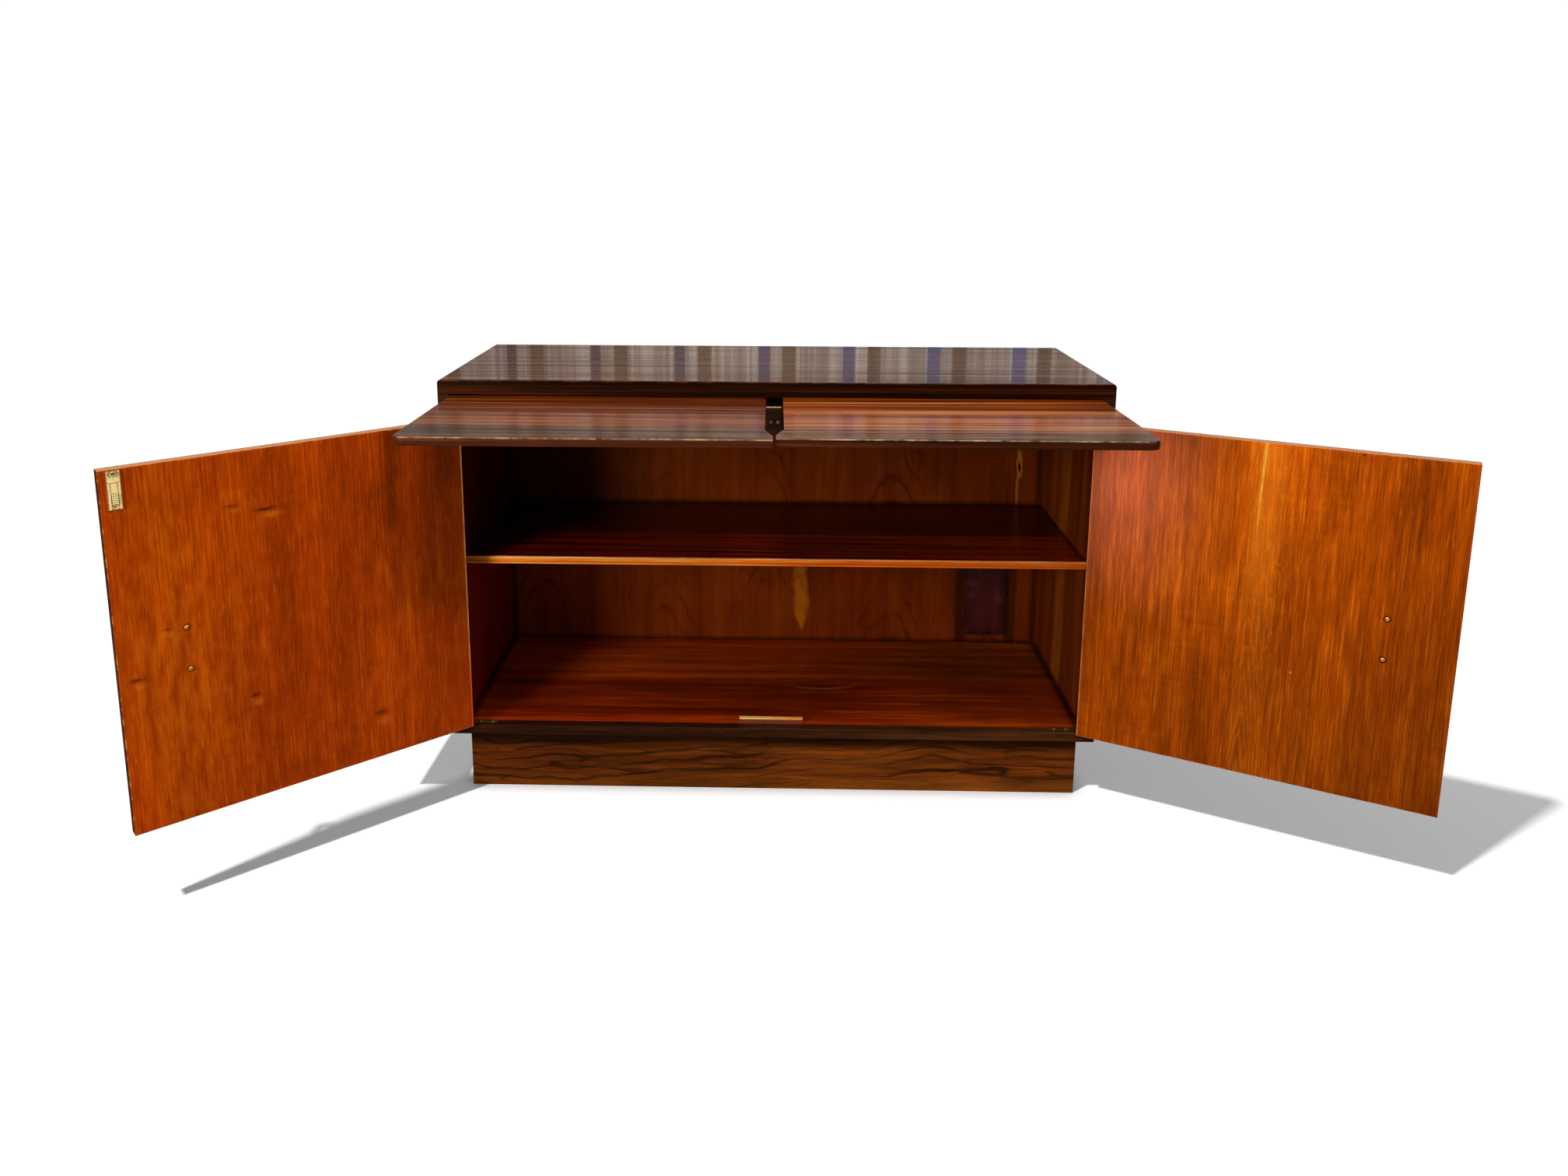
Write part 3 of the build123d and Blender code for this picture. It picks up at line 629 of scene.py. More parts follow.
def door_inner(tag):
    """Inner mahogany face of a door, dark polished edges, rubbed arrises that carry a painted
    highlight.
    """
    look = DOORS[tag]
    pivot, to_free, to_inner = door_axes(tag)
    tree = Tree("mahogany_door_" + tag)
    board = Board(tree, pivot, (Z, to_free, to_inner))
    z, reach, seed = board.along, board.across, look.seed
    tone = tree.white(leaf_number(reach, look.first_seam, DOOR_LEAF) + look.tone_seed)
    leaf = board.bent(mirrored(reach - look.first_seam, DOOR_LEAF))
    grain = StraightGrain(leaf, seed, wander=0.0025)
    slow = board.noise((2.6, 5.4), seed + 1, detail=3.0)
    hair = leaf.noise((14.0, 760.0), seed + 4, rough=0.6)
    ripple = board.noise((85.0, 16.0), seed + 6)
    mottle = board.noise(look.mottle, seed + 8, detail=3.0, rough=0.6)
    rippled = board.noise((3.0, 4.0), seed + 12, detail=1.0).ease(0.42, 0.62, 0.05, 1.0)
    weights = look.weights
    shade = grain.blend(0.20, weights["lines"]) + hair * weights["hair"] + slow * 0.34
    shade = shade + mottle * weights["mottle"]
    shade = shade + (ripple - 0.5) * rippled * weights["ripple"] - look.offset
    color = shade.ramp((0.26, 0.50, 0.76), *look.shades)
    # leaf-to-leaf tone and broad changes of depth
    color = color.gain(tone.linear(0.0, 1.0, 0.94, 1.05))
    deep = board.noise((1.8, 17.0), seed + 41, detail=3.0, rough=0.6)
    color = color.gain(deep.ease(0.32, 0.68, *look.deep)).times(*look.tint)
    flecks = board.noise((26.0, 240.0), seed + 51, detail=3.0, rough=0.6)
    color = color.paint(flecks.ease(0.60, 0.72, 0.0, 0.42), 220, 110, 24)
    color = color.gain(flecks.ease(0.30, 0.40, 0.74, 1.0))
    # dark ring round each handle screw
    for height in HANDLE_HEIGHTS:
        rise = z - height
        aside = reach - HANDLE_REACH
        radius = (rise * rise + aside * aside).root()
        color = color.paint(radius.fall(0.0042, 0.0076) * 0.90, 42, 14, 3)
    for index in range(3):
        seam = look.first_seam + index * DOOR_LEAF
        breaks = tree.noise((z * 7.0, seam * 50, 0.0)).ease(0.35, 0.7, 0.0, 0.38)
        color = color.darken(reach.near(seam, 0.0003, 0.0013) * breaks, 0.62)
    color = color.darken(grain.pores * 0.55, 0.50)
    color = color.paint(grain.pore.fall(0.26, 0.40) * 0.18, 226, 122, 30)

    if tag == "left":
        color = left_door_marks(board, color, mottle)
    else:
        color = right_door_marks(board, color)
    inner = tree.facing(to_inner, 0.35, 0.75)
    color = door_edges(board, grain.lines, to_free).mix(inner, color)
    color = door_wear_and_highlights(board, color, inner, tag)

    # varnish: satin, a little uneven, pores sink in
    rough = slow.linear(0.2, 0.8, 0.30, 0.42) + grain.pores * 0.12
    bump = tree.bump(grain.pores * -0.6 + grain.lines * 0.35, strength=0.16, dist=0.0004)
    bump = tree.bump(tree.cloud(7.0), strength=0.05, dist=0.004, normal=bump)
    spec = inner.between(0.04, 0.26)
    tree.surface(color, inner.between(0.6, rough), spec=spec, bump=bump, tint=WARM)
    return tree.mat


# ------------------------------------------------------------------- rosewood
# Dark, middle, light and vein colours
ROSEWOOD = {
    "plinth": ((50, 20, 4), (106, 46, 8), (158, 76, 14), (14, 7, 4)),
    "dark": ((26, 12, 7), (54, 24, 13), (84, 40, 20), (10, 6, 5)),
    "veneer": ((40, 19, 10), (86, 44, 21), (128, 72, 34), (16, 9, 7)),
}


def rosewood(name, origin, axes, seed, palette, gloss, scale=1.0, wear_and_light=None):
    """Figured dark rosewood, polished; scale widens the figure across the grain."""
    tree = Tree(name)
    board = Board(tree, origin, axes)
    wobble = board.noise((2.0, 7.0), seed + 2, detail=3.0)
    bent = board.bent(board.across + wobble.swing(0.05 * scale))
    streak = bent.noise((2.0, 62.0 / scale, 60.0), seed, detail=4.0, rough=0.6)
    fine = bent.noise((7.0, 420.0, 300.0), seed + 9, detail=3.0, rough=0.6)
    bold, field = veins(bent, seed + 4, (2.4, 17.0 / scale), count=5.0, width=0.070, warp=0.9)
    faint, _ = veins(bent, seed + 14, (3.6, 34.0 / scale), count=4.0, width=0.055, warp=0.5)
    pores = bent.noise((42.0, 1300.0, 900.0), seed + 5, rough=0.55).ease(0.60, 0.74)
    *shades, vein = ROSEWOOD[palette]
    color = (streak * 0.62 + fine * 0.38).ramp((0.33, 0.50, 0.70), *shades)
    color = color.gain(field.linear(0.3, 0.7, 0.72, 1.18))
    bold = bold * board.noise((3.0, 12.0), seed + 30).ease(0.35, 0.6, 0.25, 1.0)
    color = color.paint(bold * 0.85, *vein).paint(faint * 0.45, *vein)
    color = color.darken(pores * 0.45, 0.45)
    slow = tree.cloud(4.0, detail=3.0)
    # surface marks passed in, some of them painted light and shade
    if wear_and_light is not None:
        color = wear_and_light(tree, color)
    rough = slow.linear(0.25, 0.75, gloss * 0.8, gloss * 1.25) + pores * 0.10
    bump = tree.bump(pores * -0.6 + fine * 0.25, strength=0.10, dist=0.0004)
    tree.surface(color, rough, spec=0.25, bump=bump, coat=0.05, coat_rough=0.12, tint=WARM)
    return tree.mat


def door_facing(tag):
    pivot, to_free, to_inner = door_axes(tag)
    return rosewood(
        "rosewood_door_" + tag, pivot, (Z, to_free, to_inner),
        seed=75.0 if tag == "left" else 79.0, palette="veneer", gloss=0.24, scale=1.6,
    )


def lipping_wear(tree, color):
    """Rubbed line along the lipping, brown streaks to the right, darker to the left."""
    board = Board(tree, (0, Y_FRONT, FLOOR_TOP), (X, Z, Y))
    x, z, inward = board.along, board.across, board.through
    ragged = tree.noise((x * 30.0, inward * 60.0, 1.0), detail=4.0, rough=0.65)
    pale_line = inward.near(0.0195, 0.0, 0.0016) * ragged.ease(0.45, 0.65)
    color = color.paint(pale_line * 0.5, 150, 76, 24)
    streak = tree.noise((x * 5.0, (inward + z) * 260.0, 9.0), detail=3.0, rough=0.6)
    streaks = x.ease(-0.10, 0.40) * streak.ease(0.36, 0.62, 0.1, 1.0)
    color = color.paint(streaks * 0.40, 112, 66, 28)
    return color.gain(x.ease(-0.60, 0.0, 0.72, 1.0))


def rail_wear_and_glint(tree, color):
    """The arris between the two leaves is rubbed to bare wood, and a bright glint is painted on
    it.
    """
    rail_lo, rail_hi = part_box("slide_rail")
    board = Board(tree, (0, rail_lo.y, rail_hi.z), (X, Z, Y))
    x, z, inward = board.along, board.across, board.through
    ragged = tree.noise((x * 220.0, inward * 200.0, 1.0), detail=3.0, rough=0.6)
    # bare wood with a painted glint on the arris
    bare = z.ease(-0.0022, -0.0006) * inward.fall(0.0016, 0.0034)
    bare = bare * x.near(-0.001, 0.0105, 0.0150) * ragged.ease(0.36, 0.56, 0.35, 1.0)
    return color.paint(bare * 0.95, 255, 226, 186)


# Long black veins of the plinth: height, strength
PLINTH_VEINS = (
    (0.012, 0.9), (0.034, 0.75), (0.052, 0.95), (0.071, 0.7),
    (0.092, 0.9), (-0.012, 0.8), (0.118, 0.8),
)


def plinth_veins_and_light(tree, color):
    """Long black veins that swell and fade, darker at the left end, a painted shadow of the case
    under the lipping and painted light along the bottom edge.
    """
    board = Board(tree, (0, Y_FRONT, 0.0), (X, Z, Y))
    x, z = board.along, board.across
    broad = board.noise((2.2, 3.0), 41.0, detail=3.0, rough=0.55)
    small = board.noise((11.0, 20.0), 43.0, detail=3.0, rough=0.6)
    long = tree.noise((x * 0.95, 0.0, 45.0), detail=1.0)
    field = z + (broad.swing(0.14) + small.swing(0.012) + long.swing(0.22))
    thickness = board.noise((5.0, 24.0), 47.0, detail=3.0).ease(0.36, 0.62, 0.0008, 0.0052)
    lines = None
    for height, strength in PLINTH_VEINS:
        line = field.near(height, thickness * 0.3, thickness) * strength
        lines = line if lines is None else greater(lines, line)
    color = color.paint(lines * 0.95, 8, 4, 2)
    glow = board.noise((3.4, 42.0), 53.0, detail=3.0, rough=0.6).ease(0.40, 0.66)
    color = color.paint(glow * x.ease(-0.45, 0.0, 0.05, 0.34), 160, 82, 22)
    middle = abs(x - 0.02).ease(0.0, 0.22, 0.74, 1.0)
    cloud = board.noise((3.0, 9.0), 59.0, detail=3.0).ease(0.34, 0.64, 0.66, 1.12)
    # painted shadow of the case along the top of the plinth; also darker at the left end and in
    # the middle
    shade = z.ease(0.102, 0.068, 0.10, 1.0) * x.ease(-0.56, -0.20, 0.74, 1.06)
    shade = shade * middle * cloud
    # painted light along the bottom edge
    foot_light = z.ease(0.034, 0.004) * x.ease(-0.40, 0.30, 0.2, 1.0)
    return color.paint(foot_light * 0.30, 176, 98, 24).gain(shade)


# ------------------------------------------------------------- top and leaves
def polished_top():
    """Rosewood under a thick glossy varnish."""
    tree = Tree("polished_top")
    board = Board(tree, (0, 0, Z_TOP), (X, Y, Z))
    x, y = board.along, board.across
    wobble = board.noise((1.2, 6.0), 2.0)
    bent = board.bent(y + wobble.swing(0.012))
    broad = bent.noise((0.7, 30.0, 60.0), detail=3.0, rough=0.6)
    band = bent.noise((0.5, 84.0, 80.0), 4.0, rough=0.6)
    fine = bent.noise((3.0, 420.0, 300.0), 8.0, detail=3.0, rough=0.6)
    figure = broad * 0.30 + band * 0.46 + fine * 0.24
    color = figure.ramp(
        (0.38, 0.46, 0.53, 0.62), (8, 4, 3), (60, 28, 16), (112, 60, 40), (186, 128, 94)
    )
    reddish = bent.noise((0.9, 90.0), 17.0).ease(0.54, 0.64)
    color = color.paint(reddish * 0.6, 132, 34, 34)
    lines, _ = veins(bent, 4.0, (1.4, 24.0), count=5.0, width=0.06, warp=0.5)
    color = color.paint(lines * 0.6, 18, 10, 8)
    # darker towards the front and the left end
    zone = greater(y.ease(-0.02, -0.20), x.ease(-0.15, -0.58) * 0.8)
    color = color.fade(zone, 0.72)
    # the side faces are darker, with a rubbed upper arris that carries a painted highlight
    up = tree.facing(UP, 0.25, 0.85)
    sides = figure.ramp((0.36, 0.5, 0.64), (4, 1, 1), (32, 11, 2), (84, 32, 8))
    ragged = tree.noise((x * 16.0, 2.0, 4.0), detail=4.0, rough=0.65)
    rim = board.through.ease(-0.0042, -0.0006) * ragged.ease(0.44, 0.62)
    sides = sides.paint(rim * 0.5, 120, 62, 34)
    color = sides.mix(up, color)
    slow = tree.cloud(3.0, detail=3.0)
    # the film follows the grain, so reflections break into fine light and dark lines
    cut = bent.noise((1.2, 110.0), 21.0, detail=3.0, rough=0.65)
    film = cut.ease(0.40, 0.58, 0.30, 1.0) * zone.linear(0.0, 1.0, 1.0, 0.72)
    film_rough = up.between(
        slow.linear(0.3, 0.7, 0.28, 0.38), slow.linear(0.3, 0.7, 0.034, 0.060)
    )
    tree.surface(
        color, rough=0.35, spec=up.between(0.05, 0.15), tint=WARM,
        bump=tree.bump(fine * 0.5 + band * 0.5, strength=0.035, dist=0.0006),
        coat=up.between(0.05, film), coat_rough=film_rough,
    )
    return tree.mat


# slant: drift of the grain per metre; film: most varnish gloss
LEAVES = {
    "left": SimpleNamespace(
        seed=6.0, slant=0.010, film=0.66, places=(0.38, 0.46, 0.53, 0.63),
        shades=((28, 8, 1), (94, 32, 5), (140, 58, 14), (208, 114, 46)),
    ),
    "right": SimpleNamespace(
        seed=31.0, slant=-0.016, film=0.85, places=(0.38, 0.46, 0.53, 0.62),
        shades=((42, 12, 1), (140, 52, 6), (206, 96, 24), (255, 178, 92)),
    ),
}


def pull_out_leaf(tag):
    """Reddish striped rosewood on top, dark on the edges."""
    look = LEAVES[tag]
    seed = look.seed
    leaf_lo, leaf_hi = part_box("slide_leaf_" + tag)
    tree = Tree("leaf_" + tag)
    board = Board(tree, (0, leaf_lo.y, leaf_hi.z), (X, Y, Z))
    x, inward = board.along, board.across
    wobble = board.noise((1.3, 7.0), seed)
    bent = board.bent(inward + wobble.swing(0.014) + x * look.slant)
    broad = bent.noise((0.8, 28.0, 60.0), seed, detail=3.0, rough=0.6)
    band = bent.noise((0.9, 92.0, 80.0), seed + 4, rough=0.6)
    fine = bent.noise((4.0, 480.0, 300.0), seed + 8, detail=3.0, rough=0.6)
    figure = broad * 0.34 + band * 0.42 + fine * 0.24
    color = figure.ramp(look.places, *look.shades)
    lines, _ = veins(bent, seed + 2, (1.4, 26.0), count=5.0, width=0.05, warp=0.5)
    color = color.paint(lines * 0.5, 38, 14, 6)
    # the front hand's width is darker and browner
    wander = board.noise((2.5, 10.0), seed + 20, detail=3.0)
    front = (inward + wander.swing(0.06)).fall(0.02, 0.12)
    brown = figure.ramp(
        (0.38, 0.47, 0.54, 0.63), (8, 4, 2), (58, 31, 16), (110, 70, 43), (206, 156, 112)
    )
    color = color.mix(front * 0.85, brown)
    color = color.gain((inward + wander.swing(0.05)).ease(0.27, 0.345, 1.0, 0.40))
    # the end by the cabinet's outer corner is duller
    color = color.fade(abs(x).ease(0.42, 0.60), 0.72)
    up = tree.facing(UP, 0.3, 0.9)
    down = tree.facing(DOWN, 0.5, 0.9)
    edge = figure.ramp((0.36, 0.5, 0.66), (30, 11, 4), (70, 29, 13), (124, 58, 28))
    under = figure.ramp((0.36, 0.5, 0.66), (56, 25, 11), (92, 43, 17), (120, 62, 28))
    color = edge.mix(down, under).mix(up, color)
    # varnish rubbed thin along the front arris, with a painted highlight on it
    coarse = tree.noise((x * 14.0, 1.0, seed), detail=4.0, rough=0.65)
    small = tree.noise((x * 60.0, 4.0, seed), detail=3.0, rough=0.65)
    ragged = (coarse * 0.7 + small * 0.3).ease(0.42, 0.60, 0.05, 1.0)
    rim = inward.fall(0.0004, 0.0030) * (board.through.ease(-0.0030, -0.0004) * ragged)
    color = color.paint(rim * 0.78, 206, 168, 122)
    slow = tree.cloud(3.0, detail=3.0)
    cut = bent.noise((1.6, 100.0), seed + 33, detail=3.0, rough=0.65)
    film = cut.ease(0.36, 0.62, 0.18, look.film) * inward.ease(0.24, 0.34, 1.0, 0.16)
    tree.surface(
        color, rough=0.35, spec=0.15, tint=WARM,
        bump=tree.bump(fine * 0.5 + band * 0.5, strength=0.06, dist=0.0006),
        coat=up.between(0.10, film * 0.8),
        coat_rough=up.between(0.32, slow.linear(0.3, 0.7, 0.09, 0.14)),
    )
    return tree.mat


# ----------------------------------------------------------------- back panel
def back_arches(board, wobble):
    """Mask of nested arches, each leaf of veneer a mirror of the next."""
    z = board.along
    patches = board.noise((4.0, 5.0), 61.0).ease(0.42, 0.60)
    leaf = mirrored(board.across + 0.62, BACK_LEAF) - BACK_LEAF * 0.45
    aside = leaf + wobble.swing(0.045)
    arch = (aside * aside * 30.0 + 0.02).root()
    phase = arch * 7.0 + z * 16.0 + board.noise((9.0, 26.0), 8.0, detail=3.0) * 1.6
    ring = abs(phase.fract() - 0.5).ease(0.30, 0.5)
    return ring * abs(aside).fall(0.035, 0.085) * patches


def back_tongue(board, color, lines, below_shelf):
    """Pale sapwood tongue in the lower half, with a dark line beside it."""
    tree, z, x = board.tree, board.along, board.across
    wobble = tree.noise((z * 9.0, 0.0, 2.0), detail=3.0)
    ragged = board.noise((34.0, 40.0), 12.0, detail=3.0)
    centre = z.linear(0.15, 0.42, 0.066, 0.055) + wobble.swing(0.024)
    half = z.ease(0.148, 0.205, 0.003, 0.023) * z.ease(0.25, 0.42, 1.0, 0.55)
    half = half + ragged.swing(0.020)
    tongue = x.near(centre, half * 0.30, half) * z.ease(0.146, 0.160) * below_shelf
    sapwood = tree.mix(lines, srgb(216, 124, 26), srgb(255, 186, 66))
    color = color.mix(tongue * ragged.ease(0.34, 0.60, 0.50, 0.90), sapwood)
    line = x.near(centre + 0.020, 0.0, 0.004) * (z.ease(0.2, 0.24) * below_shelf)
    return color.paint(line * 0.6, 60, 24, 6)


def back_knot(board, color):
    """Knot high on the right, with its pale halo and tail."""
    tree, z = board.tree, board.along
    x = board.across + tree.noise((z * 30.0, 3.0, 1.0)).swing(0.006)
    halo = spot(z, x, 0.535, 0.529, 0.040, 0.0085).ease(0.0, 0.35)
    tail = x.near(0.526, 0.001, 0.0045) * (z.ease(0.40, 0.50, 0.30, 1.0) * z.ease(0.62, 0.56))
    ring = spot(z, x, 0.532, 0.529, 0.024, 0.0062).near(0.42, 0.06, 0.16)
    core = spot(z, x, 0.530, 0.529, 0.014, 0.0046).ease(0.0, 0.5)
    color = color.paint(greater(halo, tail * 0.7) * 0.92, 255, 196, 92)
    color = color.paint(ring * 0.45, 150, 84, 22)
    return color.paint(core * 0.97, 44, 18, 6)


def back_marks_and_shade(board, color, below_shelf):
    """A painted highlight and darker bands beside the cover board, painted shade where the
    boards meet and over the upper left.
    """
    tree, z, x = board.tree, board.along, board.across
    # painted highlight in a thin line beside the cover board's right edge
    breaks = tree.noise((z * 40.0, 1.0, 1.0), detail=3.0).ease(0.40, 0.60, 0.15, 1.0)
    edge_highlight = x.near(0.516, 0.0003, 0.0012) * (below_shelf * breaks)
    color = color.paint(edge_highlight * 0.8, 206, 160, 120)
    # darker bands over both edges of the cover board
    ragged_x = x + board.noise((22.0, 30.0), 77.0, detail=3.0, rough=0.6).swing(0.010)
    dark_border = greater(
        ragged_x.ease(0.396, 0.408) * ragged_x.fall(0.424, 0.434),
        ragged_x.ease(0.508, 0.516) * ragged_x.fall(0.528, 0.540),
    )
    color = color.fade(dark_border * below_shelf, 0.30)
    # painted shade where the boards meet
    meet = lesser(abs(z - FLOOR_TOP), abs(abs(x) - INSIDE_X))
    meet = lesser(meet, abs(z - SHELF_TOP))
    color = color.gain(meet.ease(0.0, 0.012, 0.30, 1.0))
    # painted shade over the upper left
    gloom = z.ease(0.40, 0.46) * x.ease(-0.10, -0.50)
    return color.gain(gloom.ease(0.0, 1.0, 1.0, 0.55))


def back_outside(board, grain):
    """Outer face of the back: unpolished and browner, darker round its rim."""
    color = grain.blend(0.5, 0.5).ramp(
        (0.3, 0.5, 0.7), (92, 60, 34), (124, 84, 50), (150, 108, 68)
    )
    stain = board.tree.cloud(2.6, detail=4.0, rough=0.6)
    color = color.gain(stain.linear(0.25, 0.75, 0.72, 1.12))
    z, x = board.along, board.across
    to_edge = lesser(lesser(0.587 - abs(x), 0.7695 - z), z - 0.1115)
    return color.paint(to_edge.fall(0.0, 0.05) * 0.4, 60, 40, 26)


def back_panel():
    """Faint cathedral veneer, a pale streak and a knot inside; plain outside."""
    tree = Tree("back_veneer")
    board = Board(tree, (0, 0, 0), (Z, X, Y))
    z, x = board.along, board.across
    wobble = board.noise((5.0, 9.0), 3.0, detail=3.0)
    arches = back_arches(board, wobble)
    grain = StraightGrain(board.bent(x + wobble.swing(0.02)), 15.0, wander=0.004)
    cloud = board.noise((8.0, 14.0), 31.0, detail=3.0, rough=0.55)
    shade = cloud * 0.36 + grain.ribbon * 0.30 + grain.lines * 0.34
    color = shade.ramp((0.30, 0.50, 0.70), (112, 46, 10), (156, 76, 20), (186, 102, 34))
    color = color.paint(arches * 0.50, 60, 20, 4)
    number = tree.math("FLOOR", (x + 0.62) * (1.0 / BACK_LEAF))
    color = color.gain(tree.white(number + 1.3).linear(0.0, 1.0, 0.93, 1.06))
    slow = board.noise((3.0, 4.0), 5.0, detail=3.0)
    color = color.gain(slow.linear(0.25, 0.75, 0.84, 1.16))
    # a redder, duller patch between the middle and the cover board
    patch = x.near(0.21, 0.06, 0.20) * z.ease(0.46, 0.38)
    color = color.mix(patch * 0.5, color.times(0.80, 0.62, 0.6))
    below_shelf = z.fall(0.42, 0.44)
    color = back_tongue(board, color, grain.lines, below_shelf)
    color = back_knot(board, color)
    color = color.darken(grain.pores * 0.4, 0.5).times(0.52, 0.33, 0.18)
    # painted bounce light from the floor: the lower left is brighter
    lower_left_light = x.ease(-0.12, -0.50)
    color = color.gain((lower_left_light * z.ease(0.44, 0.40)).between(1.0, 1.75))
    color = back_marks_and_shade(board, color, below_shelf)
    outside = tree.facing(BACK, 0.3, 0.7)
    color = color.mix(outside, back_outside(board, grain))
    rough = outside.between(slow.linear(0.2, 0.8, 0.40, 0.52), 0.75)
    bump = tree.bump(grain.pores * -0.6 + grain.lines * 0.4, strength=0.18, dist=0.0005)
    tree.surface(color, rough, spec=0.2, bump=bump, tint=WARM)
    return tree.mat


# ---------------------------------------------------------------- side panels
def side_inside(board, grain, tag):
    """Mahogany inner face of a side panel, with painted shade in its corners."""
    tree, z, y = board.tree, board.along, board.across
    color = grain.blend(0.6, 0.4).ramp(
        (0.30, 0.50, 0.72), (98, 38, 6), (148, 70, 14), (190, 104, 34)
    )
    color = color.darken(grain.pores * 0.4, 0.5)
    if tag == "right":
        # two pale upright streaks
        wobble = tree.noise((z * 5.0, 0.0, 2.0), detail=3.0)
        breaks = board.noise((8.0, 60.0), 6.0, detail=3.0)
        wide = y.near(0.010 + wobble.swing(0.07), 0.012, 0.060)
        color = color.paint(wide * breaks.ease(0.3, 0.65, 0.35, 1.0) * 0.75, 224, 140, 44)
        thin = y.near(0.100 + wobble.swing(0.04), 0.004, 0.022)
        color = color.paint(thin * (z.ease(0.44, 0.50, 0.0, 0.5) * breaks), 224, 140, 44)
        color = color.times(0.46, 0.31, 0.2)
    else:
        # left side: redder with painted bounce light from the floor, and painted shade higher up
        color = color.paint(0.45, 120, 34, 6).times(1.15, 0.28, 0.2)
        color = color.gain(z.ease(0.42, 0.47, 1.0, 0.45))
    # painted shade along the floor, the back and the shelf's line
    meet = lesser(abs(z - FLOOR_TOP), abs(y - 0.2095))
    # the shelf's line, which stops short of the front edge
    meet = lesser(meet, abs(z - 0.438) + y.ease(-0.19, -0.18, 0.05, 0.0))
    return color.gain(meet.ease(0.0, 0.013, 0.30, 1.0))


def side_panel(tag):
    """Rosewood outside and on the edges, mahogany inside."""
    side = -1 if tag == "left" else 1
    seed = 40.0 + side * 3
    tree = Tree("side_" + tag)
    board = Board(tree, (0, 0, 0), (Z, Y, X))
    wobble = board.noise((1.6, 6.0), seed, detail=3.0)
    bent = board.bent(mirrored(board.across + SIDE_HALF, SIDE_HALF) + wobble.swing(0.05))
    streak = bent.noise((1.4, 55.0, 60.0), seed, detail=4.0, rough=0.6)
    fine = bent.noise((6.0, 420.0, 300.0), seed, detail=3.0, rough=0.6)
    lines, field = veins(bent, seed + 4, (1.8, 15.0), count=5.0, width=0.07, warp=0.8)
    figure = streak * 0.62 + fine * 0.38
    places = (0.33, 0.50, 0.70)
    color = figure.ramp(places, (34, 16, 9), (76, 38, 18), (118, 66, 32))
    color = color.gain(field.linear(0.3, 0.7, 0.75, 1.18)).paint(lines * 0.8, 14, 8, 6)
    # the front edge is nearly black-brown
    front_color = figure.ramp(places, (20, 10, 6), (44, 21, 12), (70, 36, 20))
    grain = StraightGrain(board, seed + 9, wander=0.006)
    inside = tree.facing((-side, 0, 0), 0.4, 0.8)
    color = color.mix(tree.facing(FRONT, 0.3, 0.8), front_color)
    color = color.mix(inside, side_inside(board, grain, tag))
    slow = tree.cloud(4.0, detail=3.0)
    rough = inside.between(
        slow.linear(0.25, 0.75, 0.20, 0.30), slow.linear(0.25, 0.75, 0.36, 0.48)
    )
    tree.surface(
        color, rough, spec=0.25, tint=WARM,
        bump=tree.bump(grain.pores * -0.5 + fine * 0.3, strength=0.12, dist=0.0004),
        coat=inside.between(0.25, 0.0), coat_rough=0.12,
    )
    return tree.mat


# ----------------------------------------------------------- floor and shelf
def interior(name, height, seed, shades, extra, rough, coat, seams):
    """Varnished mahogany boards inside the cabinet; seams are distances from the front."""
    tree = Tree(name)
    board = Board(tree, (0, Y_FRONT, height), (X, Y, Z))
    grain = StraightGrain(board, seed, wander=0.006)
    slow = board.noise((1.6, 8.0), seed + 2, detail=3.0)
    color = grain.blend(0.6, 0.4).ramp((0.30, 0.50, 0.72), *shades)
    color = color.gain(slow.linear(0.25, 0.75, 0.80, 1.18))
    color = color.darken(grain.pores * 0.45, 0.45)
    for seam in seams:
        color = color.darken(board.across.near(seam, 0.0003, 0.0014) * 0.45, 0.5)
    color = extra(board, color)
    tree.surface(
        color, slow.linear(0.2, 0.8, rough * 0.85, rough * 1.2) + grain.pores * 0.1,
        spec=0.25, coat=coat, coat_rough=rough * 0.5, tint=WARM,
        bump=tree.bump(grain.pores * -0.6 + grain.lines * 0.35, strength=0.14, dist=0.0004),
    )
    return tree.mat


def floor_marks(board, color):
    """Browner rear, redder front, a painted highlight in a pale arc and painted shade along the
    walls.
    """
    tree, x, inward = board.tree, board.along, board.across
    rear = inward.ease(0.200, 0.232)
    color = tree.mix(rear, color.times(0.90, 0.72, 0.7), color.times(1.45, 1.75, 1.2))
    wobble = tree.noise((x * 9.0, 0.0, 4.0))
    # painted highlight in a pale arc
    highlight_arc_line = 0.176 + ((x - 0.10) * (x - 0.10) * 3.0 + wobble.swing(0.006))
    arc = inward.near(highlight_arc_line, 0.0, 0.006) * x.near(0.10, 0.02, 0.09)
    color = color.paint(arc * 0.5, 232, 150, 66)
    bent = (inward + wobble.swing(0.012)) * 56.0
    streak = tree.noise((x * 2.6, bent, 16.0), detail=4.0, rough=0.65)
    color = color.gain(streak.ease(0.32, 0.68, 0.80, 1.20))
    blotch = board.noise((7.0, 18.0), 19.0, detail=3.0, rough=0.6)
    color = color.gain(blotch.ease(0.32, 0.68, 0.84, 1.16))
    color = color.gain(inward.ease(0.075, 0.030, 1.0, 1.22))
    color = color.paint(streak.ease(0.52, 0.70, 0.0, 0.35) * (1.0 - rear), 226, 84, 10)
    dull = x.near(-0.02, 0.05, 0.30) * inward.ease(0.02, 0.07)
    color = color.fade(dull * (1.0 - rear), 0.62)
    color = color.fade(rear * x.ease(-0.10, -0.45), 1.7)
    color = color.fade(rear * x.ease(0.0, 0.42), 0.66)
    color = color.mix(x.ease(0.10, 0.42), color.times(1.07, 1.50, 1.3))
    # painted shade along the walls
    meet = lesser(INSIDE_DEPTH - inward, INSIDE_X - abs(x))
    return color.gain(meet.ease(0.0, 0.012, 0.25, 1.0))


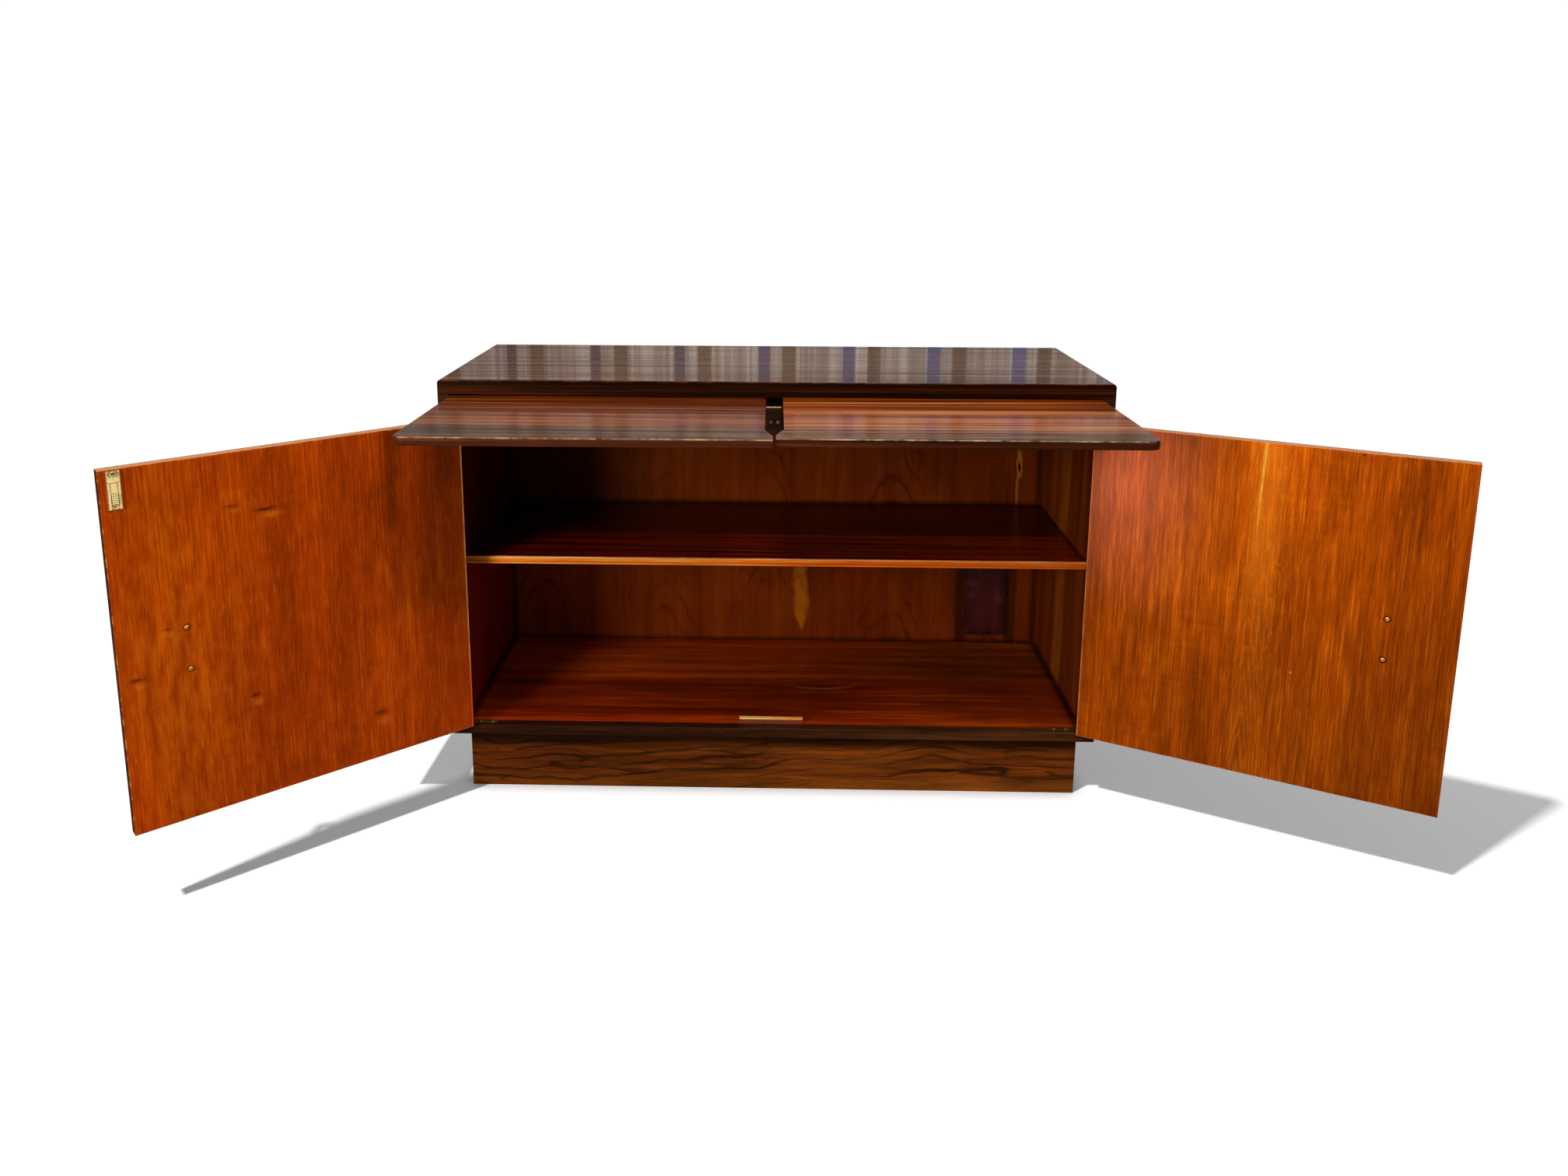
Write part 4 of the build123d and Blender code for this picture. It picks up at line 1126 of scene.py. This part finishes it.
def shelf_marks(board, color):
    """Redder stripes near the front, a red band, painted shade over the left part and where it
    meets the walls.
    """
    tree, x, inward = board.tree, board.along, board.across
    streak = tree.noise((x * 1.6, (inward + x * 0.02) * 90.0, 6.0), detail=3.0, rough=0.6)
    stripes = inward.ease(0.225, 0.150) * streak.ease(0.42, 0.64)
    color = color.paint(stripes * 0.75, 178, 46, 6)
    band = inward.near(0.187, 0.002, 0.016) * x.ease(-0.56, -0.35)
    color = color.paint(band * 0.45, 160, 50, 8)
    right_front = x.ease(0.05, 0.5) * inward.ease(0.20, 0.07)
    color = color.paint(right_front * 0.5, 164, 40, 6)
    # painted shade over the left part
    color = color.mix(x.fall(-0.30, 0.20), color.times(0.86, 0.50, 0.6))
    color = color.mix(x.ease(0.10, 0.42), color.times(1.15, 1.42, 1.3))
    # painted shade where it meets the walls
    meet = lesser(INSIDE_DEPTH - inward, INSIDE_X - abs(x))
    return color.gain(meet.ease(0.0, 0.010, 0.35, 1.0))


def shelf_edge():
    """Layered golden lipping along the front of the shelf."""
    tree = Tree("shelf_edge")
    edge_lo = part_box("shelf_lipping")[0]
    board = Board(tree, (0, edge_lo.y, edge_lo.z), (X, Z, Y))
    x, height = board.along, board.across
    grain = StraightGrain(board, 51.0, wander=0.003)
    layer = board.noise((2.2, 420.0), 3.0)
    dash = board.noise((9.0, 620.0), 7.0, detail=3.0, rough=0.6)
    color = (layer * 0.55 + dash * 0.45).ramp(
        (0.34, 0.48, 0.58, 0.68), (176, 66, 6), (240, 128, 26), (255, 172, 72), (255, 214, 138)
    )
    # a darker line low on the edge
    color = color.paint(height.near(0.0052, 0.0004, 0.0016) * 0.60, 140, 46, 4)
    # redder towards the right end, paler at the left end
    color = color.paint(x.ease(-0.35, 0.30) * 0.45, 214, 78, 10)
    color = color.gain(x.ease(-0.55, -0.30, 1.25, 1.0))
    # painted highlight along the upper arris
    pale_line = height.ease(0.0108, 0.0138) * dash.ease(0.36, 0.60, 0.25, 1.0)
    color = color.paint(pale_line * 0.75, 255, 214, 160)
    color = color.mix(x.ease(-0.45, -0.10), color.times(1.02, 0.78, 0.50))
    bump = tree.bump(grain.lines, strength=0.15, dist=0.0004)
    tree.surface(color, rough=0.30, spec=0.35, bump=bump, coat=0.0, coat_rough=0.15, tint=WARM)
    return tree.mat


def cover_board():
    """Dark red scuffed board on the inside of the back."""
    tree = Tree("cover_board")
    board = Board(tree, (0, 0, 0), (Z, X, Y))
    z, x = board.along, board.across
    grain = StraightGrain(board, 61.0, wander=0.004)
    color = grain.blend(0.6, 0.4).ramp((0.3, 0.5, 0.72), (40, 7, 6), (68, 14, 10), (98, 24, 18))
    lo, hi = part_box("cover_board")
    ragged = board.noise((40.0, 60.0), 5.0, detail=3.0, rough=0.6).swing(0.016)
    rim = lesser(lesser(x - lo.x, hi.x - x), z - lo.z) + ragged
    color = color.gain(rim.ease(0.0, 0.020, 0.45, 1.0)).gain(z.ease(0.20, 0.32, 0.96, 0.62))
    scuff = tree.cloud(24.0, detail=4.0, rough=0.65)
    color = color.paint(scuff.ease(0.56, 0.72, 0.0, 0.30), 124, 58, 54)
    bump = tree.bump(grain.lines, strength=0.2, dist=0.0005)
    tree.surface(color, scuff.linear(0.2, 0.8, 0.36, 0.55), spec=0.35, bump=bump)
    return tree.mat


# ----------------------------------------------------------- secondary timber
PLAIN_SHADES = ((70, 38, 18), (112, 64, 32), (150, 94, 52))


def plain_timber(name, seed, axes, shades=PLAIN_SHADES, lit_end_grain=None):
    """Unpolished timber; lit_end_grain colours the faces that look to the front."""
    tree = Tree(name)
    grain = StraightGrain(Board(tree, (0, 0, 0), axes), seed, wander=0.006)
    color = grain.blend(0.6, 0.4).ramp((0.3, 0.5, 0.7), *shades)
    color = color.darken(grain.pores * 0.4, 0.5)
    grime = tree.cloud(9.0, detail=4.0, rough=0.6)
    if lit_end_grain is not None:
        pale = srgb(*lit_end_grain)
        dull = tree.vector("SCALE", pale[:3], scale=0.7)
        color = color.mix(tree.facing(FRONT, 0.5, 0.8), tree.mix(grime, pale, dull))
    color = color.gain(grime.linear(0.3, 0.7, 0.78, 1.1))
    bump = tree.bump(grain.pores * -0.5 + grain.lines * 0.5, strength=0.25, dist=0.0005)
    tree.surface(color, grime.linear(0.2, 0.8, 0.55, 0.75), spec=0.25, bump=bump)
    return tree.mat


# ---------------------------------------------------------------------- metal
def old_metal(name, light, dark, seed, rough, metal=0.7, tarnish=0.5, scale=1.0,
              grime=False, extra=None):
    """Bright metal under patchy brown tarnish and fine scratches, with old
    polish and painted shade in the corners where grime is set."""
    tree = Tree(name)
    light, dark = srgb(*light), srgb(*dark)
    small = tree.cloud(160.0 * scale, detail=4.0, rough=0.6, w=seed)
    large = tree.cloud(38.0 * scale, detail=3.0, rough=0.55, w=seed + 2)
    patch = (small * 0.45 + large * 0.55).ease(0.42, 0.62)
    color = tree.mix(patch * tarnish, light, dark)
    specks = tree.cloud(900.0 * scale, rough=0.6, w=seed + 5).ease(0.62, 0.72)
    half_dark = tuple(level * 0.5 for level in dark[:3]) + (1.0,)
    color = color.mix(specks * 0.35, half_dark)
    if grime:
        # old polish with painted shade in the hollows
        corner = tree.occlusion(distance=0.0022, samples=12).fall(0.50, 0.94)
        color = color.paint(corner * 0.9, 40, 22, 10)
    if extra is not None:
        color = extra(tree, color)
    x, y, z = tree.split()
    scratch = tree.noise((x * 2600.0, y * 2600.0, z * 90.0), rough=0.6)
    tree.surface(
        color, patch.linear(0.0, 1.0, rough * 0.8, rough * 1.6) + scratch * 0.10,
        spec=0.5, metallic=patch.linear(0.0, 1.0, metal, metal * 0.85),
        bump=tree.bump(scratch * 0.5 + specks * -0.6, strength=0.18, dist=0.0002),
    )
    return tree.mat


def strip_polish_and_reflections(tree, color):
    """Polished along the top by every closing door, with a painted highlight there; brown
    tarnish on the face with a painted reflection of the red floor.
    """
    face = tree.facing(FRONT, 0.4, 0.8)
    board = Board(tree, (0, Y_FRONT, 0.0), (X, Z, Y))
    x, z = board.along, board.across
    ragged = board.noise((160.0, 500.0), 3.0, detail=3.0, rough=0.6)
    # painted highlight on the polished top, orange towards the right
    color = color.paint(x.ease(-0.02, 0.05, 0.0, 0.70), 255, 128, 54)
    # brown tarnish on the face with a painted reflection of the red floor
    brown = tree.mix(ragged.ease(0.4, 0.66), srgb(96, 34, 4), srgb(150, 66, 18))
    orange = tree.mix(x.ease(-0.01, 0.045), srgb(250, 176, 76), srgb(240, 116, 52))
    bright = tree.mix(x.ease(-0.03, 0.03), srgb(255, 214, 150), srgb(255, 176, 84))
    polished = orange.mix(ragged.ease(0.3, 0.6), bright)
    return color.mix(face, brown.mix(z.ease(0.1372, 0.1380), polished))


def bolt_polish_and_shade(tree, color):
    """Dark line round the plate and at the bolt's upper end: old polish with painted shade."""
    pivot, to_free, to_inner = door_axes("left")
    reach = Board(tree, pivot, (Z, to_free, to_inner)).across
    z = tree.split()[2]
    from_sides = lesser(abs(reach - 0.5430), abs(reach - 0.5615))
    from_ends = lesser(abs(z - 0.658), abs(z - 0.7173))
    rim = lesser(from_sides, from_ends).fall(0.0, 0.0016)
    ragged = tree.cloud(420.0, detail=3.0, rough=0.6)
    dark = greater(
        rim * ragged.ease(0.35, 0.6, 0.4, 1.0),
        z.ease(0.704, 0.712) * ragged.ease(0.40, 0.58, 0.2, 0.9),
    )
    return color.paint(dark * 0.8, 84, 54, 24)


# ----------------------------------------------------------------- assignment
def assign(material, *names):
    for name in names:
        materials = NODES[name].data.materials
        materials.clear()
        materials.append(material)


for tag in ("left", "right"):
    assign(door_inner(tag), "door_panel_" + tag)
    assign(door_facing(tag), "door_facing_" + tag)
    assign(pull_out_leaf(tag), "slide_leaf_" + tag)
    assign(side_panel(tag), "side_panel_" + tag)
assign(polished_top(), "top_panel")
assign(back_panel(), "back_panel")

assign(
    rosewood("rosewood_lip", (0, Y_FRONT, 0.11), (X, Y, Z), seed=12.0,
             palette="dark", gloss=0.36, wear_and_light=lipping_wear),
    "bottom_lipping",
)
assign(
    rosewood("rosewood_rail", (0, Y_FRONT, 0.72), (X, Z, Y), seed=16.0,
             palette="dark", gloss=0.30, wear_and_light=rail_wear_and_glint),
    "slide_rail",
)
assign(
    rosewood("rosewood_plinth", (0, Y_FRONT, 0.0), (X, Z, Y), seed=23.0,
             palette="plinth", gloss=0.34, wear_and_light=plinth_veins_and_light),
    "plinth_front",
)
assign(
    rosewood("rosewood_plinth_back", (0, 0.2, 0.0), (X, Z, Y), seed=27.0,
             palette="plinth", gloss=0.40),
    "plinth_back",
)
assign(
    rosewood("rosewood_plinth_side", (0, 0, 0.0), (Y, Z, X), seed=29.0,
             palette="plinth", gloss=0.36),
    "plinth_side_left", "plinth_side_right",
)

assign(
    interior("mahogany_floor", height=0.13, seed=81.0,
             shades=((92, 22, 3), (138, 42, 5), (182, 72, 12)), extra=floor_marks,
             rough=0.30, coat=0.04, seams=(0.145, 0.222, 0.318)),
    "bottom_panel",
)
assign(
    interior("mahogany_shelf", height=SHELF_TOP, seed=87.0,
             shades=((36, 5, 1), (60, 10, 2), (90, 22, 4)), extra=shelf_marks,
             rough=0.24, coat=0.06, seams=(0.285,)),
    "shelf",
)
assign(shelf_edge(), "shelf_lipping")
assign(cover_board(), "cover_board")

assign(
    plain_timber("dark_block", 91.0, (Z, X, Y), ((30, 13, 6), (54, 24, 12), (80, 38, 18))),
    "stop_block",
)
# the divider's front end grain is painted far paler than the wood, standing in for light in the
# deep shade there
assign(
    plain_timber("dark_divider", 93.0, (Y, X, Z), ((64, 24, 8), (108, 46, 14), (146, 72, 26)),
                 lit_end_grain=(244, 170, 96)),
    "slide_divider",
)
assign(
    plain_timber("runner_timber", 95.0, (Y, X, Z)),
    "slide_runner_left", "slide_runner_right", "center_runner", "plinth_cross_rail",
)
assign(
    plain_timber("cleat_timber", 97.0, (Y, Z, X), ((78, 34, 12), (116, 54, 18), (146, 80, 34))),
    "shelf_cleat_left", "shelf_cleat_right",
)
assign(plain_timber("block_timber", 99.0, (Z, X, Y)), "plinth_corner_blocks")
assign(
    plain_timber("dowel_timber", 98.0, (Z, X, Y),
                 ((120, 80, 44), (164, 118, 70), (196, 150, 98))),
    "slide_stop_pegs_left", "slide_stop_pegs_right",
)

assign(
    old_metal("brass_strip", (255, 212, 104), (255, 170, 62), seed=1.0, rough=0.50,
              metal=0.10, extra=strip_polish_and_reflections),
    "floor_stop",
)
assign(
    old_metal("brass_bolt", (255, 228, 158), (240, 178, 92), seed=3.0, rough=0.42,
              metal=0.05, tarnish=0.55, scale=1.6, grime=True, extra=bolt_polish_and_shade),
    "bolt_plate", "bolt",
)
assign(
    old_metal("brass_hinge_body", (128, 92, 44), (52, 32, 14), seed=5.0, rough=0.38,
              tarnish=0.85, grime=True),
    "hinge_plates_carcass_left", "hinge_plates_carcass_right", "hinge_washers", "hinge_pins",
)
assign(
    old_metal("brass_hinge", (206, 160, 88), (92, 62, 34), seed=6.0, rough=0.34,
              tarnish=0.8, grime=True),
    "hinge_plates_door_left", "hinge_plates_door_right",
)
assign(
    old_metal("brass_handle", (232, 182, 98), (120, 76, 32), seed=7.0, rough=0.22, tarnish=0.45),
    "handle_left", "handle_right",
)
assign(
    old_metal("brass_screws", (244, 200, 124), (130, 90, 44), seed=9.0, rough=0.30,
              scale=2.0, grime=True),
    "floor_stop_screws", "bolt_keeper", "bolt_keeper_screws", "hinge_screws_carcass",
    "hinge_screws_door_left", "hinge_screws_door_right", "bolt_plate_screws",
)
assign(
    old_metal("handle_screw_heads", (255, 170, 62), (128, 58, 12), seed=11.0, rough=0.40,
              metal=0.15, tarnish=0.7, scale=2.0, grime=True),
    "handle_screws_left", "handle_screws_right",
)
assign(
    old_metal("stop_screw_heads", (206, 160, 130), (110, 76, 52), seed=12.0, rough=0.40,
              metal=0.3, tarnish=0.6, scale=2.0, grime=True),
    "stop_block_screws",
)
assign(
    old_metal("board_pin_heads", (92, 50, 44), (52, 24, 20), seed=14.0, rough=0.45,
              metal=0.3, tarnish=0.6, scale=2.0),
    "cover_board_pins",
)
assign(
    old_metal("steel_screws", (168, 162, 152), (84, 66, 52), seed=13.0, rough=0.38,
              tarnish=0.7, scale=2.0),
    "back_panel_screws", "shelf_cleat_screws", "slide_runner_screws",
)

# ---------------------------------------------------------------------- stage
KEY = Vector((-4.03, -4.09, 10.0))  # the lamp that lights the floor
KEY_AIM = Vector((0.0, -0.3, 0.3))
KEY_POWER = 1150.0
AMBIENT = 0.16


def quad(name, points):
    mesh = bpy.data.meshes.new(name)
    mesh.from_pydata(points, [], [(0, 1, 2, 3)])
    sheet = bpy.data.objects.new(name, mesh)
    SCENE.collection.objects.link(sheet)
    return sheet


def floor_material():
    """Near-white floor that stays evenly lit far from the lamp."""
    tree = Tree("studio_floor")
    x, y, _ = tree.split()
    off_x, off_y = x - KEY.x, y - KEY.y
    square = off_x * off_x + off_y * off_y + KEY.z ** 2
    # the key light falls off with distance; the far floor makes up for it
    aim = (KEY_AIM - KEY).normalized()
    toward = off_x * aim.x + off_y * aim.y + (-KEY.z * aim.z)
    cosine = toward / square.root()
    received = greater(cosine, 0.0) / tree.math("POWER", square, 1.5)
    received = received * (KEY_POWER * KEY.z / math.pi ** 2 * 0.9)
    lack = greater(1.08 - (received + AMBIENT * 0.9), 0.0)
    shade = tree.occlusion(distance=0.045, samples=16).ease(0.45, 1.0, 0.62, 1.0)
    base = tree.mix(tree.cloud(1.5), (0.90, 0.90, 0.90, 1), (0.92, 0.92, 0.92, 1))
    white = tree.surface(base.gain(shade), rough=0.9, spec=0.0)
    white.inputs["Emission Color"].default_value = (1, 1, 1, 1)
    tree.put(white.inputs["Emission Strength"], lack * shade)
    # the piece itself is lit as if it stood on a mid-grey floor
    grey = tree.node("ShaderNodeBsdfDiffuse")
    grey.inputs[0].default_value = (0.26, 0.25, 0.24, 1)
    path = tree.node("ShaderNodeLightPath")
    either = tree.node("ShaderNodeMixShader")
    tree.link(path.outputs["Is Camera Ray"], either.inputs[0])
    tree.link(grey.outputs[0], either.inputs[1])
    tree.link(white.outputs[0], either.inputs[2])
    tree.show(either)
    return tree.mat


def card_material():
    """Upright blue and olive bands on a streaky pale ground, glowing."""
    band_pitch = 0.356
    band_x = -1.110  # centre of one blue band
    tree = Tree("reflection_card")
    x, _, z = tree.split()
    phase = ((x - band_x) * (1.0 / band_pitch) + 0.5).fract()  # 0.5 on a blue band
    from_blue = abs(phase - 0.5)
    rightness = x.ease(-1.5, 1.7)
    half = x.linear(-1.5, 1.9, 0.052, 0.100)
    blue = (from_blue - half).fall(-0.012, 0.016) * x.fall(1.19, 1.23)
    olive = phase.near(0.80, 0.065, 0.100)
    thin = phase.near(0.5 - half, 0.004, 0.014)
    streak = tree.noise((x * 34.0, 0.0, z * 0.4), detail=3.0, rough=0.6)
    fine = tree.noise((x * 120.0, 3.0, z * 0.4), rough=0.6)
    ground = tree.mix(streak.ease(0.35, 0.65), (0.30, 0.25, 0.20, 1), (0.66, 0.58, 0.50, 1))
    ground = ground.gain(fine.linear(0.3, 0.7, 0.72, 1.28))
    ground = ground.gain(abs(x + 0.1).ease(0.2, 1.4, 1.14, 0.96))
    blue_color = tree.mix(rightness, (0.032, 0.032, 0.045, 1), (0.12, 0.18, 0.38, 1))
    olive_gain = fine.linear(0.3, 0.7, 0.7, 1.3)
    olive_color = tree.vector("SCALE", (0.100, 0.068, 0.016), scale=olive_gain)
    color = ground.mix(olive * 0.9, olive_color).mix(blue, blue_color)
    color = color.mix(thin * rightness * 0.9, (0.85, 0.86, 0.95, 1))
    glow = tree.node("ShaderNodeEmission")
    tree.put(glow.inputs[0], color)
    glow.inputs[1].default_value = 1.0
    tree.show(glow)
    return tree.mat


def veil_material():
    """Clear film that lets a little of the light through."""
    tree = Tree("floor_flag")
    veil = tree.node("ShaderNodeBsdfTransparent")
    veil.inputs[0].default_value = (0.14, 0.14, 0.14, 1)
    tree.show(veil)
    return tree.mat


def hide_from(sheet, *rays):
    for ray in rays:
        setattr(sheet, "visible_" + ray, False)


floor = quad("studio_floor", [(-12, -8, 0), (12, -8, 0), (12, 16, 0), (-12, 16, 0)])
floor.data.materials.append(floor_material())

# striped card behind the cabinet, seen only as a reflection in the polished tops
card = quad(
    "reflection_card", [(-5.5, 2.6, 0.2), (5.5, 2.6, 0.2), (5.5, 2.6, 4.2), (-5.5, 2.6, 4.2)]
)
card.data.materials.append(card_material())
hide_from(card, "camera", "diffuse", "shadow", "transmission", "volume_scatter")


def build_world():
    """Plain white to the camera, softer as a light."""
    world = bpy.data.worlds.new("studio")
    SCENE.world = world
    world.use_nodes = True
    nodes, links = world.node_tree.nodes, world.node_tree.links
    for node in list(nodes):
        nodes.remove(node)
    out = nodes.new("ShaderNodeOutputWorld")
    path = nodes.new("ShaderNodeLightPath")
    either = nodes.new("ShaderNodeMixShader")
    links.new(path.outputs["Is Camera Ray"], either.inputs[0])
    skies = (((0.96, 0.97, 1.0, 1), AMBIENT), ((1, 1, 1, 1), 1.06))
    for index, (color, strength) in enumerate(skies, start=1):
        sky = nodes.new("ShaderNodeBackground")
        sky.inputs[0].default_value = color
        sky.inputs[1].default_value = strength
        links.new(sky.outputs[0], either.inputs[index])
    links.new(either.outputs[0], out.inputs[0])


build_world()


# --------------------------------------------------------------------- lights
def disk_light(name, place, target, size, power, color=(1, 1, 1)):
    light = bpy.data.lights.new(name, "AREA")
    light.shape = "DISK"
    light.size = size
    light.energy = power
    light.color = color
    lamp = bpy.data.objects.new(name, light)
    lamp.location = place
    lamp.rotation_mode = "QUATERNION"
    lamp.rotation_quaternion = (Vector(target) - Vector(place)).to_track_quat("-Z", "Y")
    SCENE.collection.objects.link(lamp)
    return lamp


def link_floor(lamp, state):
    """INCLUDE lights the studio floor only, EXCLUDE everything but the floor."""
    receivers = bpy.data.collections.new(lamp.name + "_link")
    receivers.objects.link(floor)
    receivers.collection_objects[0].light_linking.link_state = state
    lamp.light_linking.receiver_collection = receivers


def drop_shadows(lamp, *pieces):
    """Keep the pieces from casting shadows in this lamp's light."""
    blockers = bpy.data.collections.new(lamp.name + "_blockers")
    for piece in pieces:
        blockers.objects.link(piece)
    for entry in blockers.collection_objects:
        entry.light_linking.link_state = "EXCLUDE"
    lamp.light_linking.blocker_collection = blockers


floor_key = disk_light("floor_key", KEY, KEY_AIM, size=0.45, power=KEY_POWER)
link_floor(floor_key, "INCLUDE")
# the thin leaves leave no shadow of their own on the floor before the plinth
drop_shadows(
    floor_key, NODES["slide_leaf_left"], NODES["slide_leaf_right"],
    NODES["slide_stop_pegs_left"], NODES["slide_stop_pegs_right"],
)
key = disk_light("key", (0.4, -2.62, 4.0), (0.0, -0.2, 0.4), size=1.3, power=105.0)
fill = disk_light(
    "fill", (-2.25, -3.15, 1.35), (0.15, 0.0, 0.45), size=1.3, power=80.0,
    color=(1.0, 0.97, 0.93),
)
link_floor(key, "EXCLUDE")
link_floor(fill, "EXCLUDE")

# a flag keeps the floor light off a narrow strip of floor beside the left end
FLAG_HEIGHT = 0.16
SHADED_STRIP = (  # corners of the strip on the floor: x, y
    (-0.674, Y_FRONT + 0.010), (-0.588, Y_FRONT + 0.016),
    (-0.588, SIDE_HALF), (-0.664, SIDE_HALF),
)
toward_key = FLAG_HEIGHT / KEY.z
flag = quad("floor_flag", [
    (x + (KEY.x - x) * toward_key, y + (KEY.y - y) * toward_key, FLAG_HEIGHT)
    for x, y in SHADED_STRIP
])
flag.data.materials.append(veil_material())
hide_from(flag, "camera", "diffuse", "glossy", "transmission", "volume_scatter")
drop_shadows(key, flag)
drop_shadows(fill, flag)

# --------------------------------------------------------------------- camera
CAMERA_PLACE = (-0.00304, -2.0144 + Y_FRONT, 1.1495)
PAN, TILT, ROLL = -0.0235, -0.1936, 0.0028  # radians


def build_camera():
    data = bpy.data.cameras.new("camera")
    camera = bpy.data.objects.new("camera", data)
    SCENE.collection.objects.link(camera)
    SCENE.camera = camera
    forward = Vector((
        math.sin(PAN) * math.cos(TILT), math.cos(PAN) * math.cos(TILT), math.sin(TILT)
    ))
    level = Vector((math.cos(PAN), -math.sin(PAN), 0))
    upright = level.cross(forward)
    right = math.cos(ROLL) * level + math.sin(ROLL) * upright
    up = -math.sin(ROLL) * level + math.cos(ROLL) * upright
    rows = [(right[i], up[i], -forward[i], CAMERA_PLACE[i]) for i in range(3)]
    camera.matrix_world = Matrix((*rows, (0, 0, 0, 1)))
    data.sensor_fit = "HORIZONTAL"
    data.sensor_width = 36.0
    data.lens = 26.642857
    data.shift_x = 0.0242559524
    data.shift_y = -0.1192956349
    data.clip_start = 0.05
    data.clip_end = 60.0


build_camera()
SCENE.view_settings.view_transform = "Standard"
SCENE.view_settings.look = "None"
SCENE.view_settings.exposure = 0.0
SCENE.view_settings.gamma = 1.0
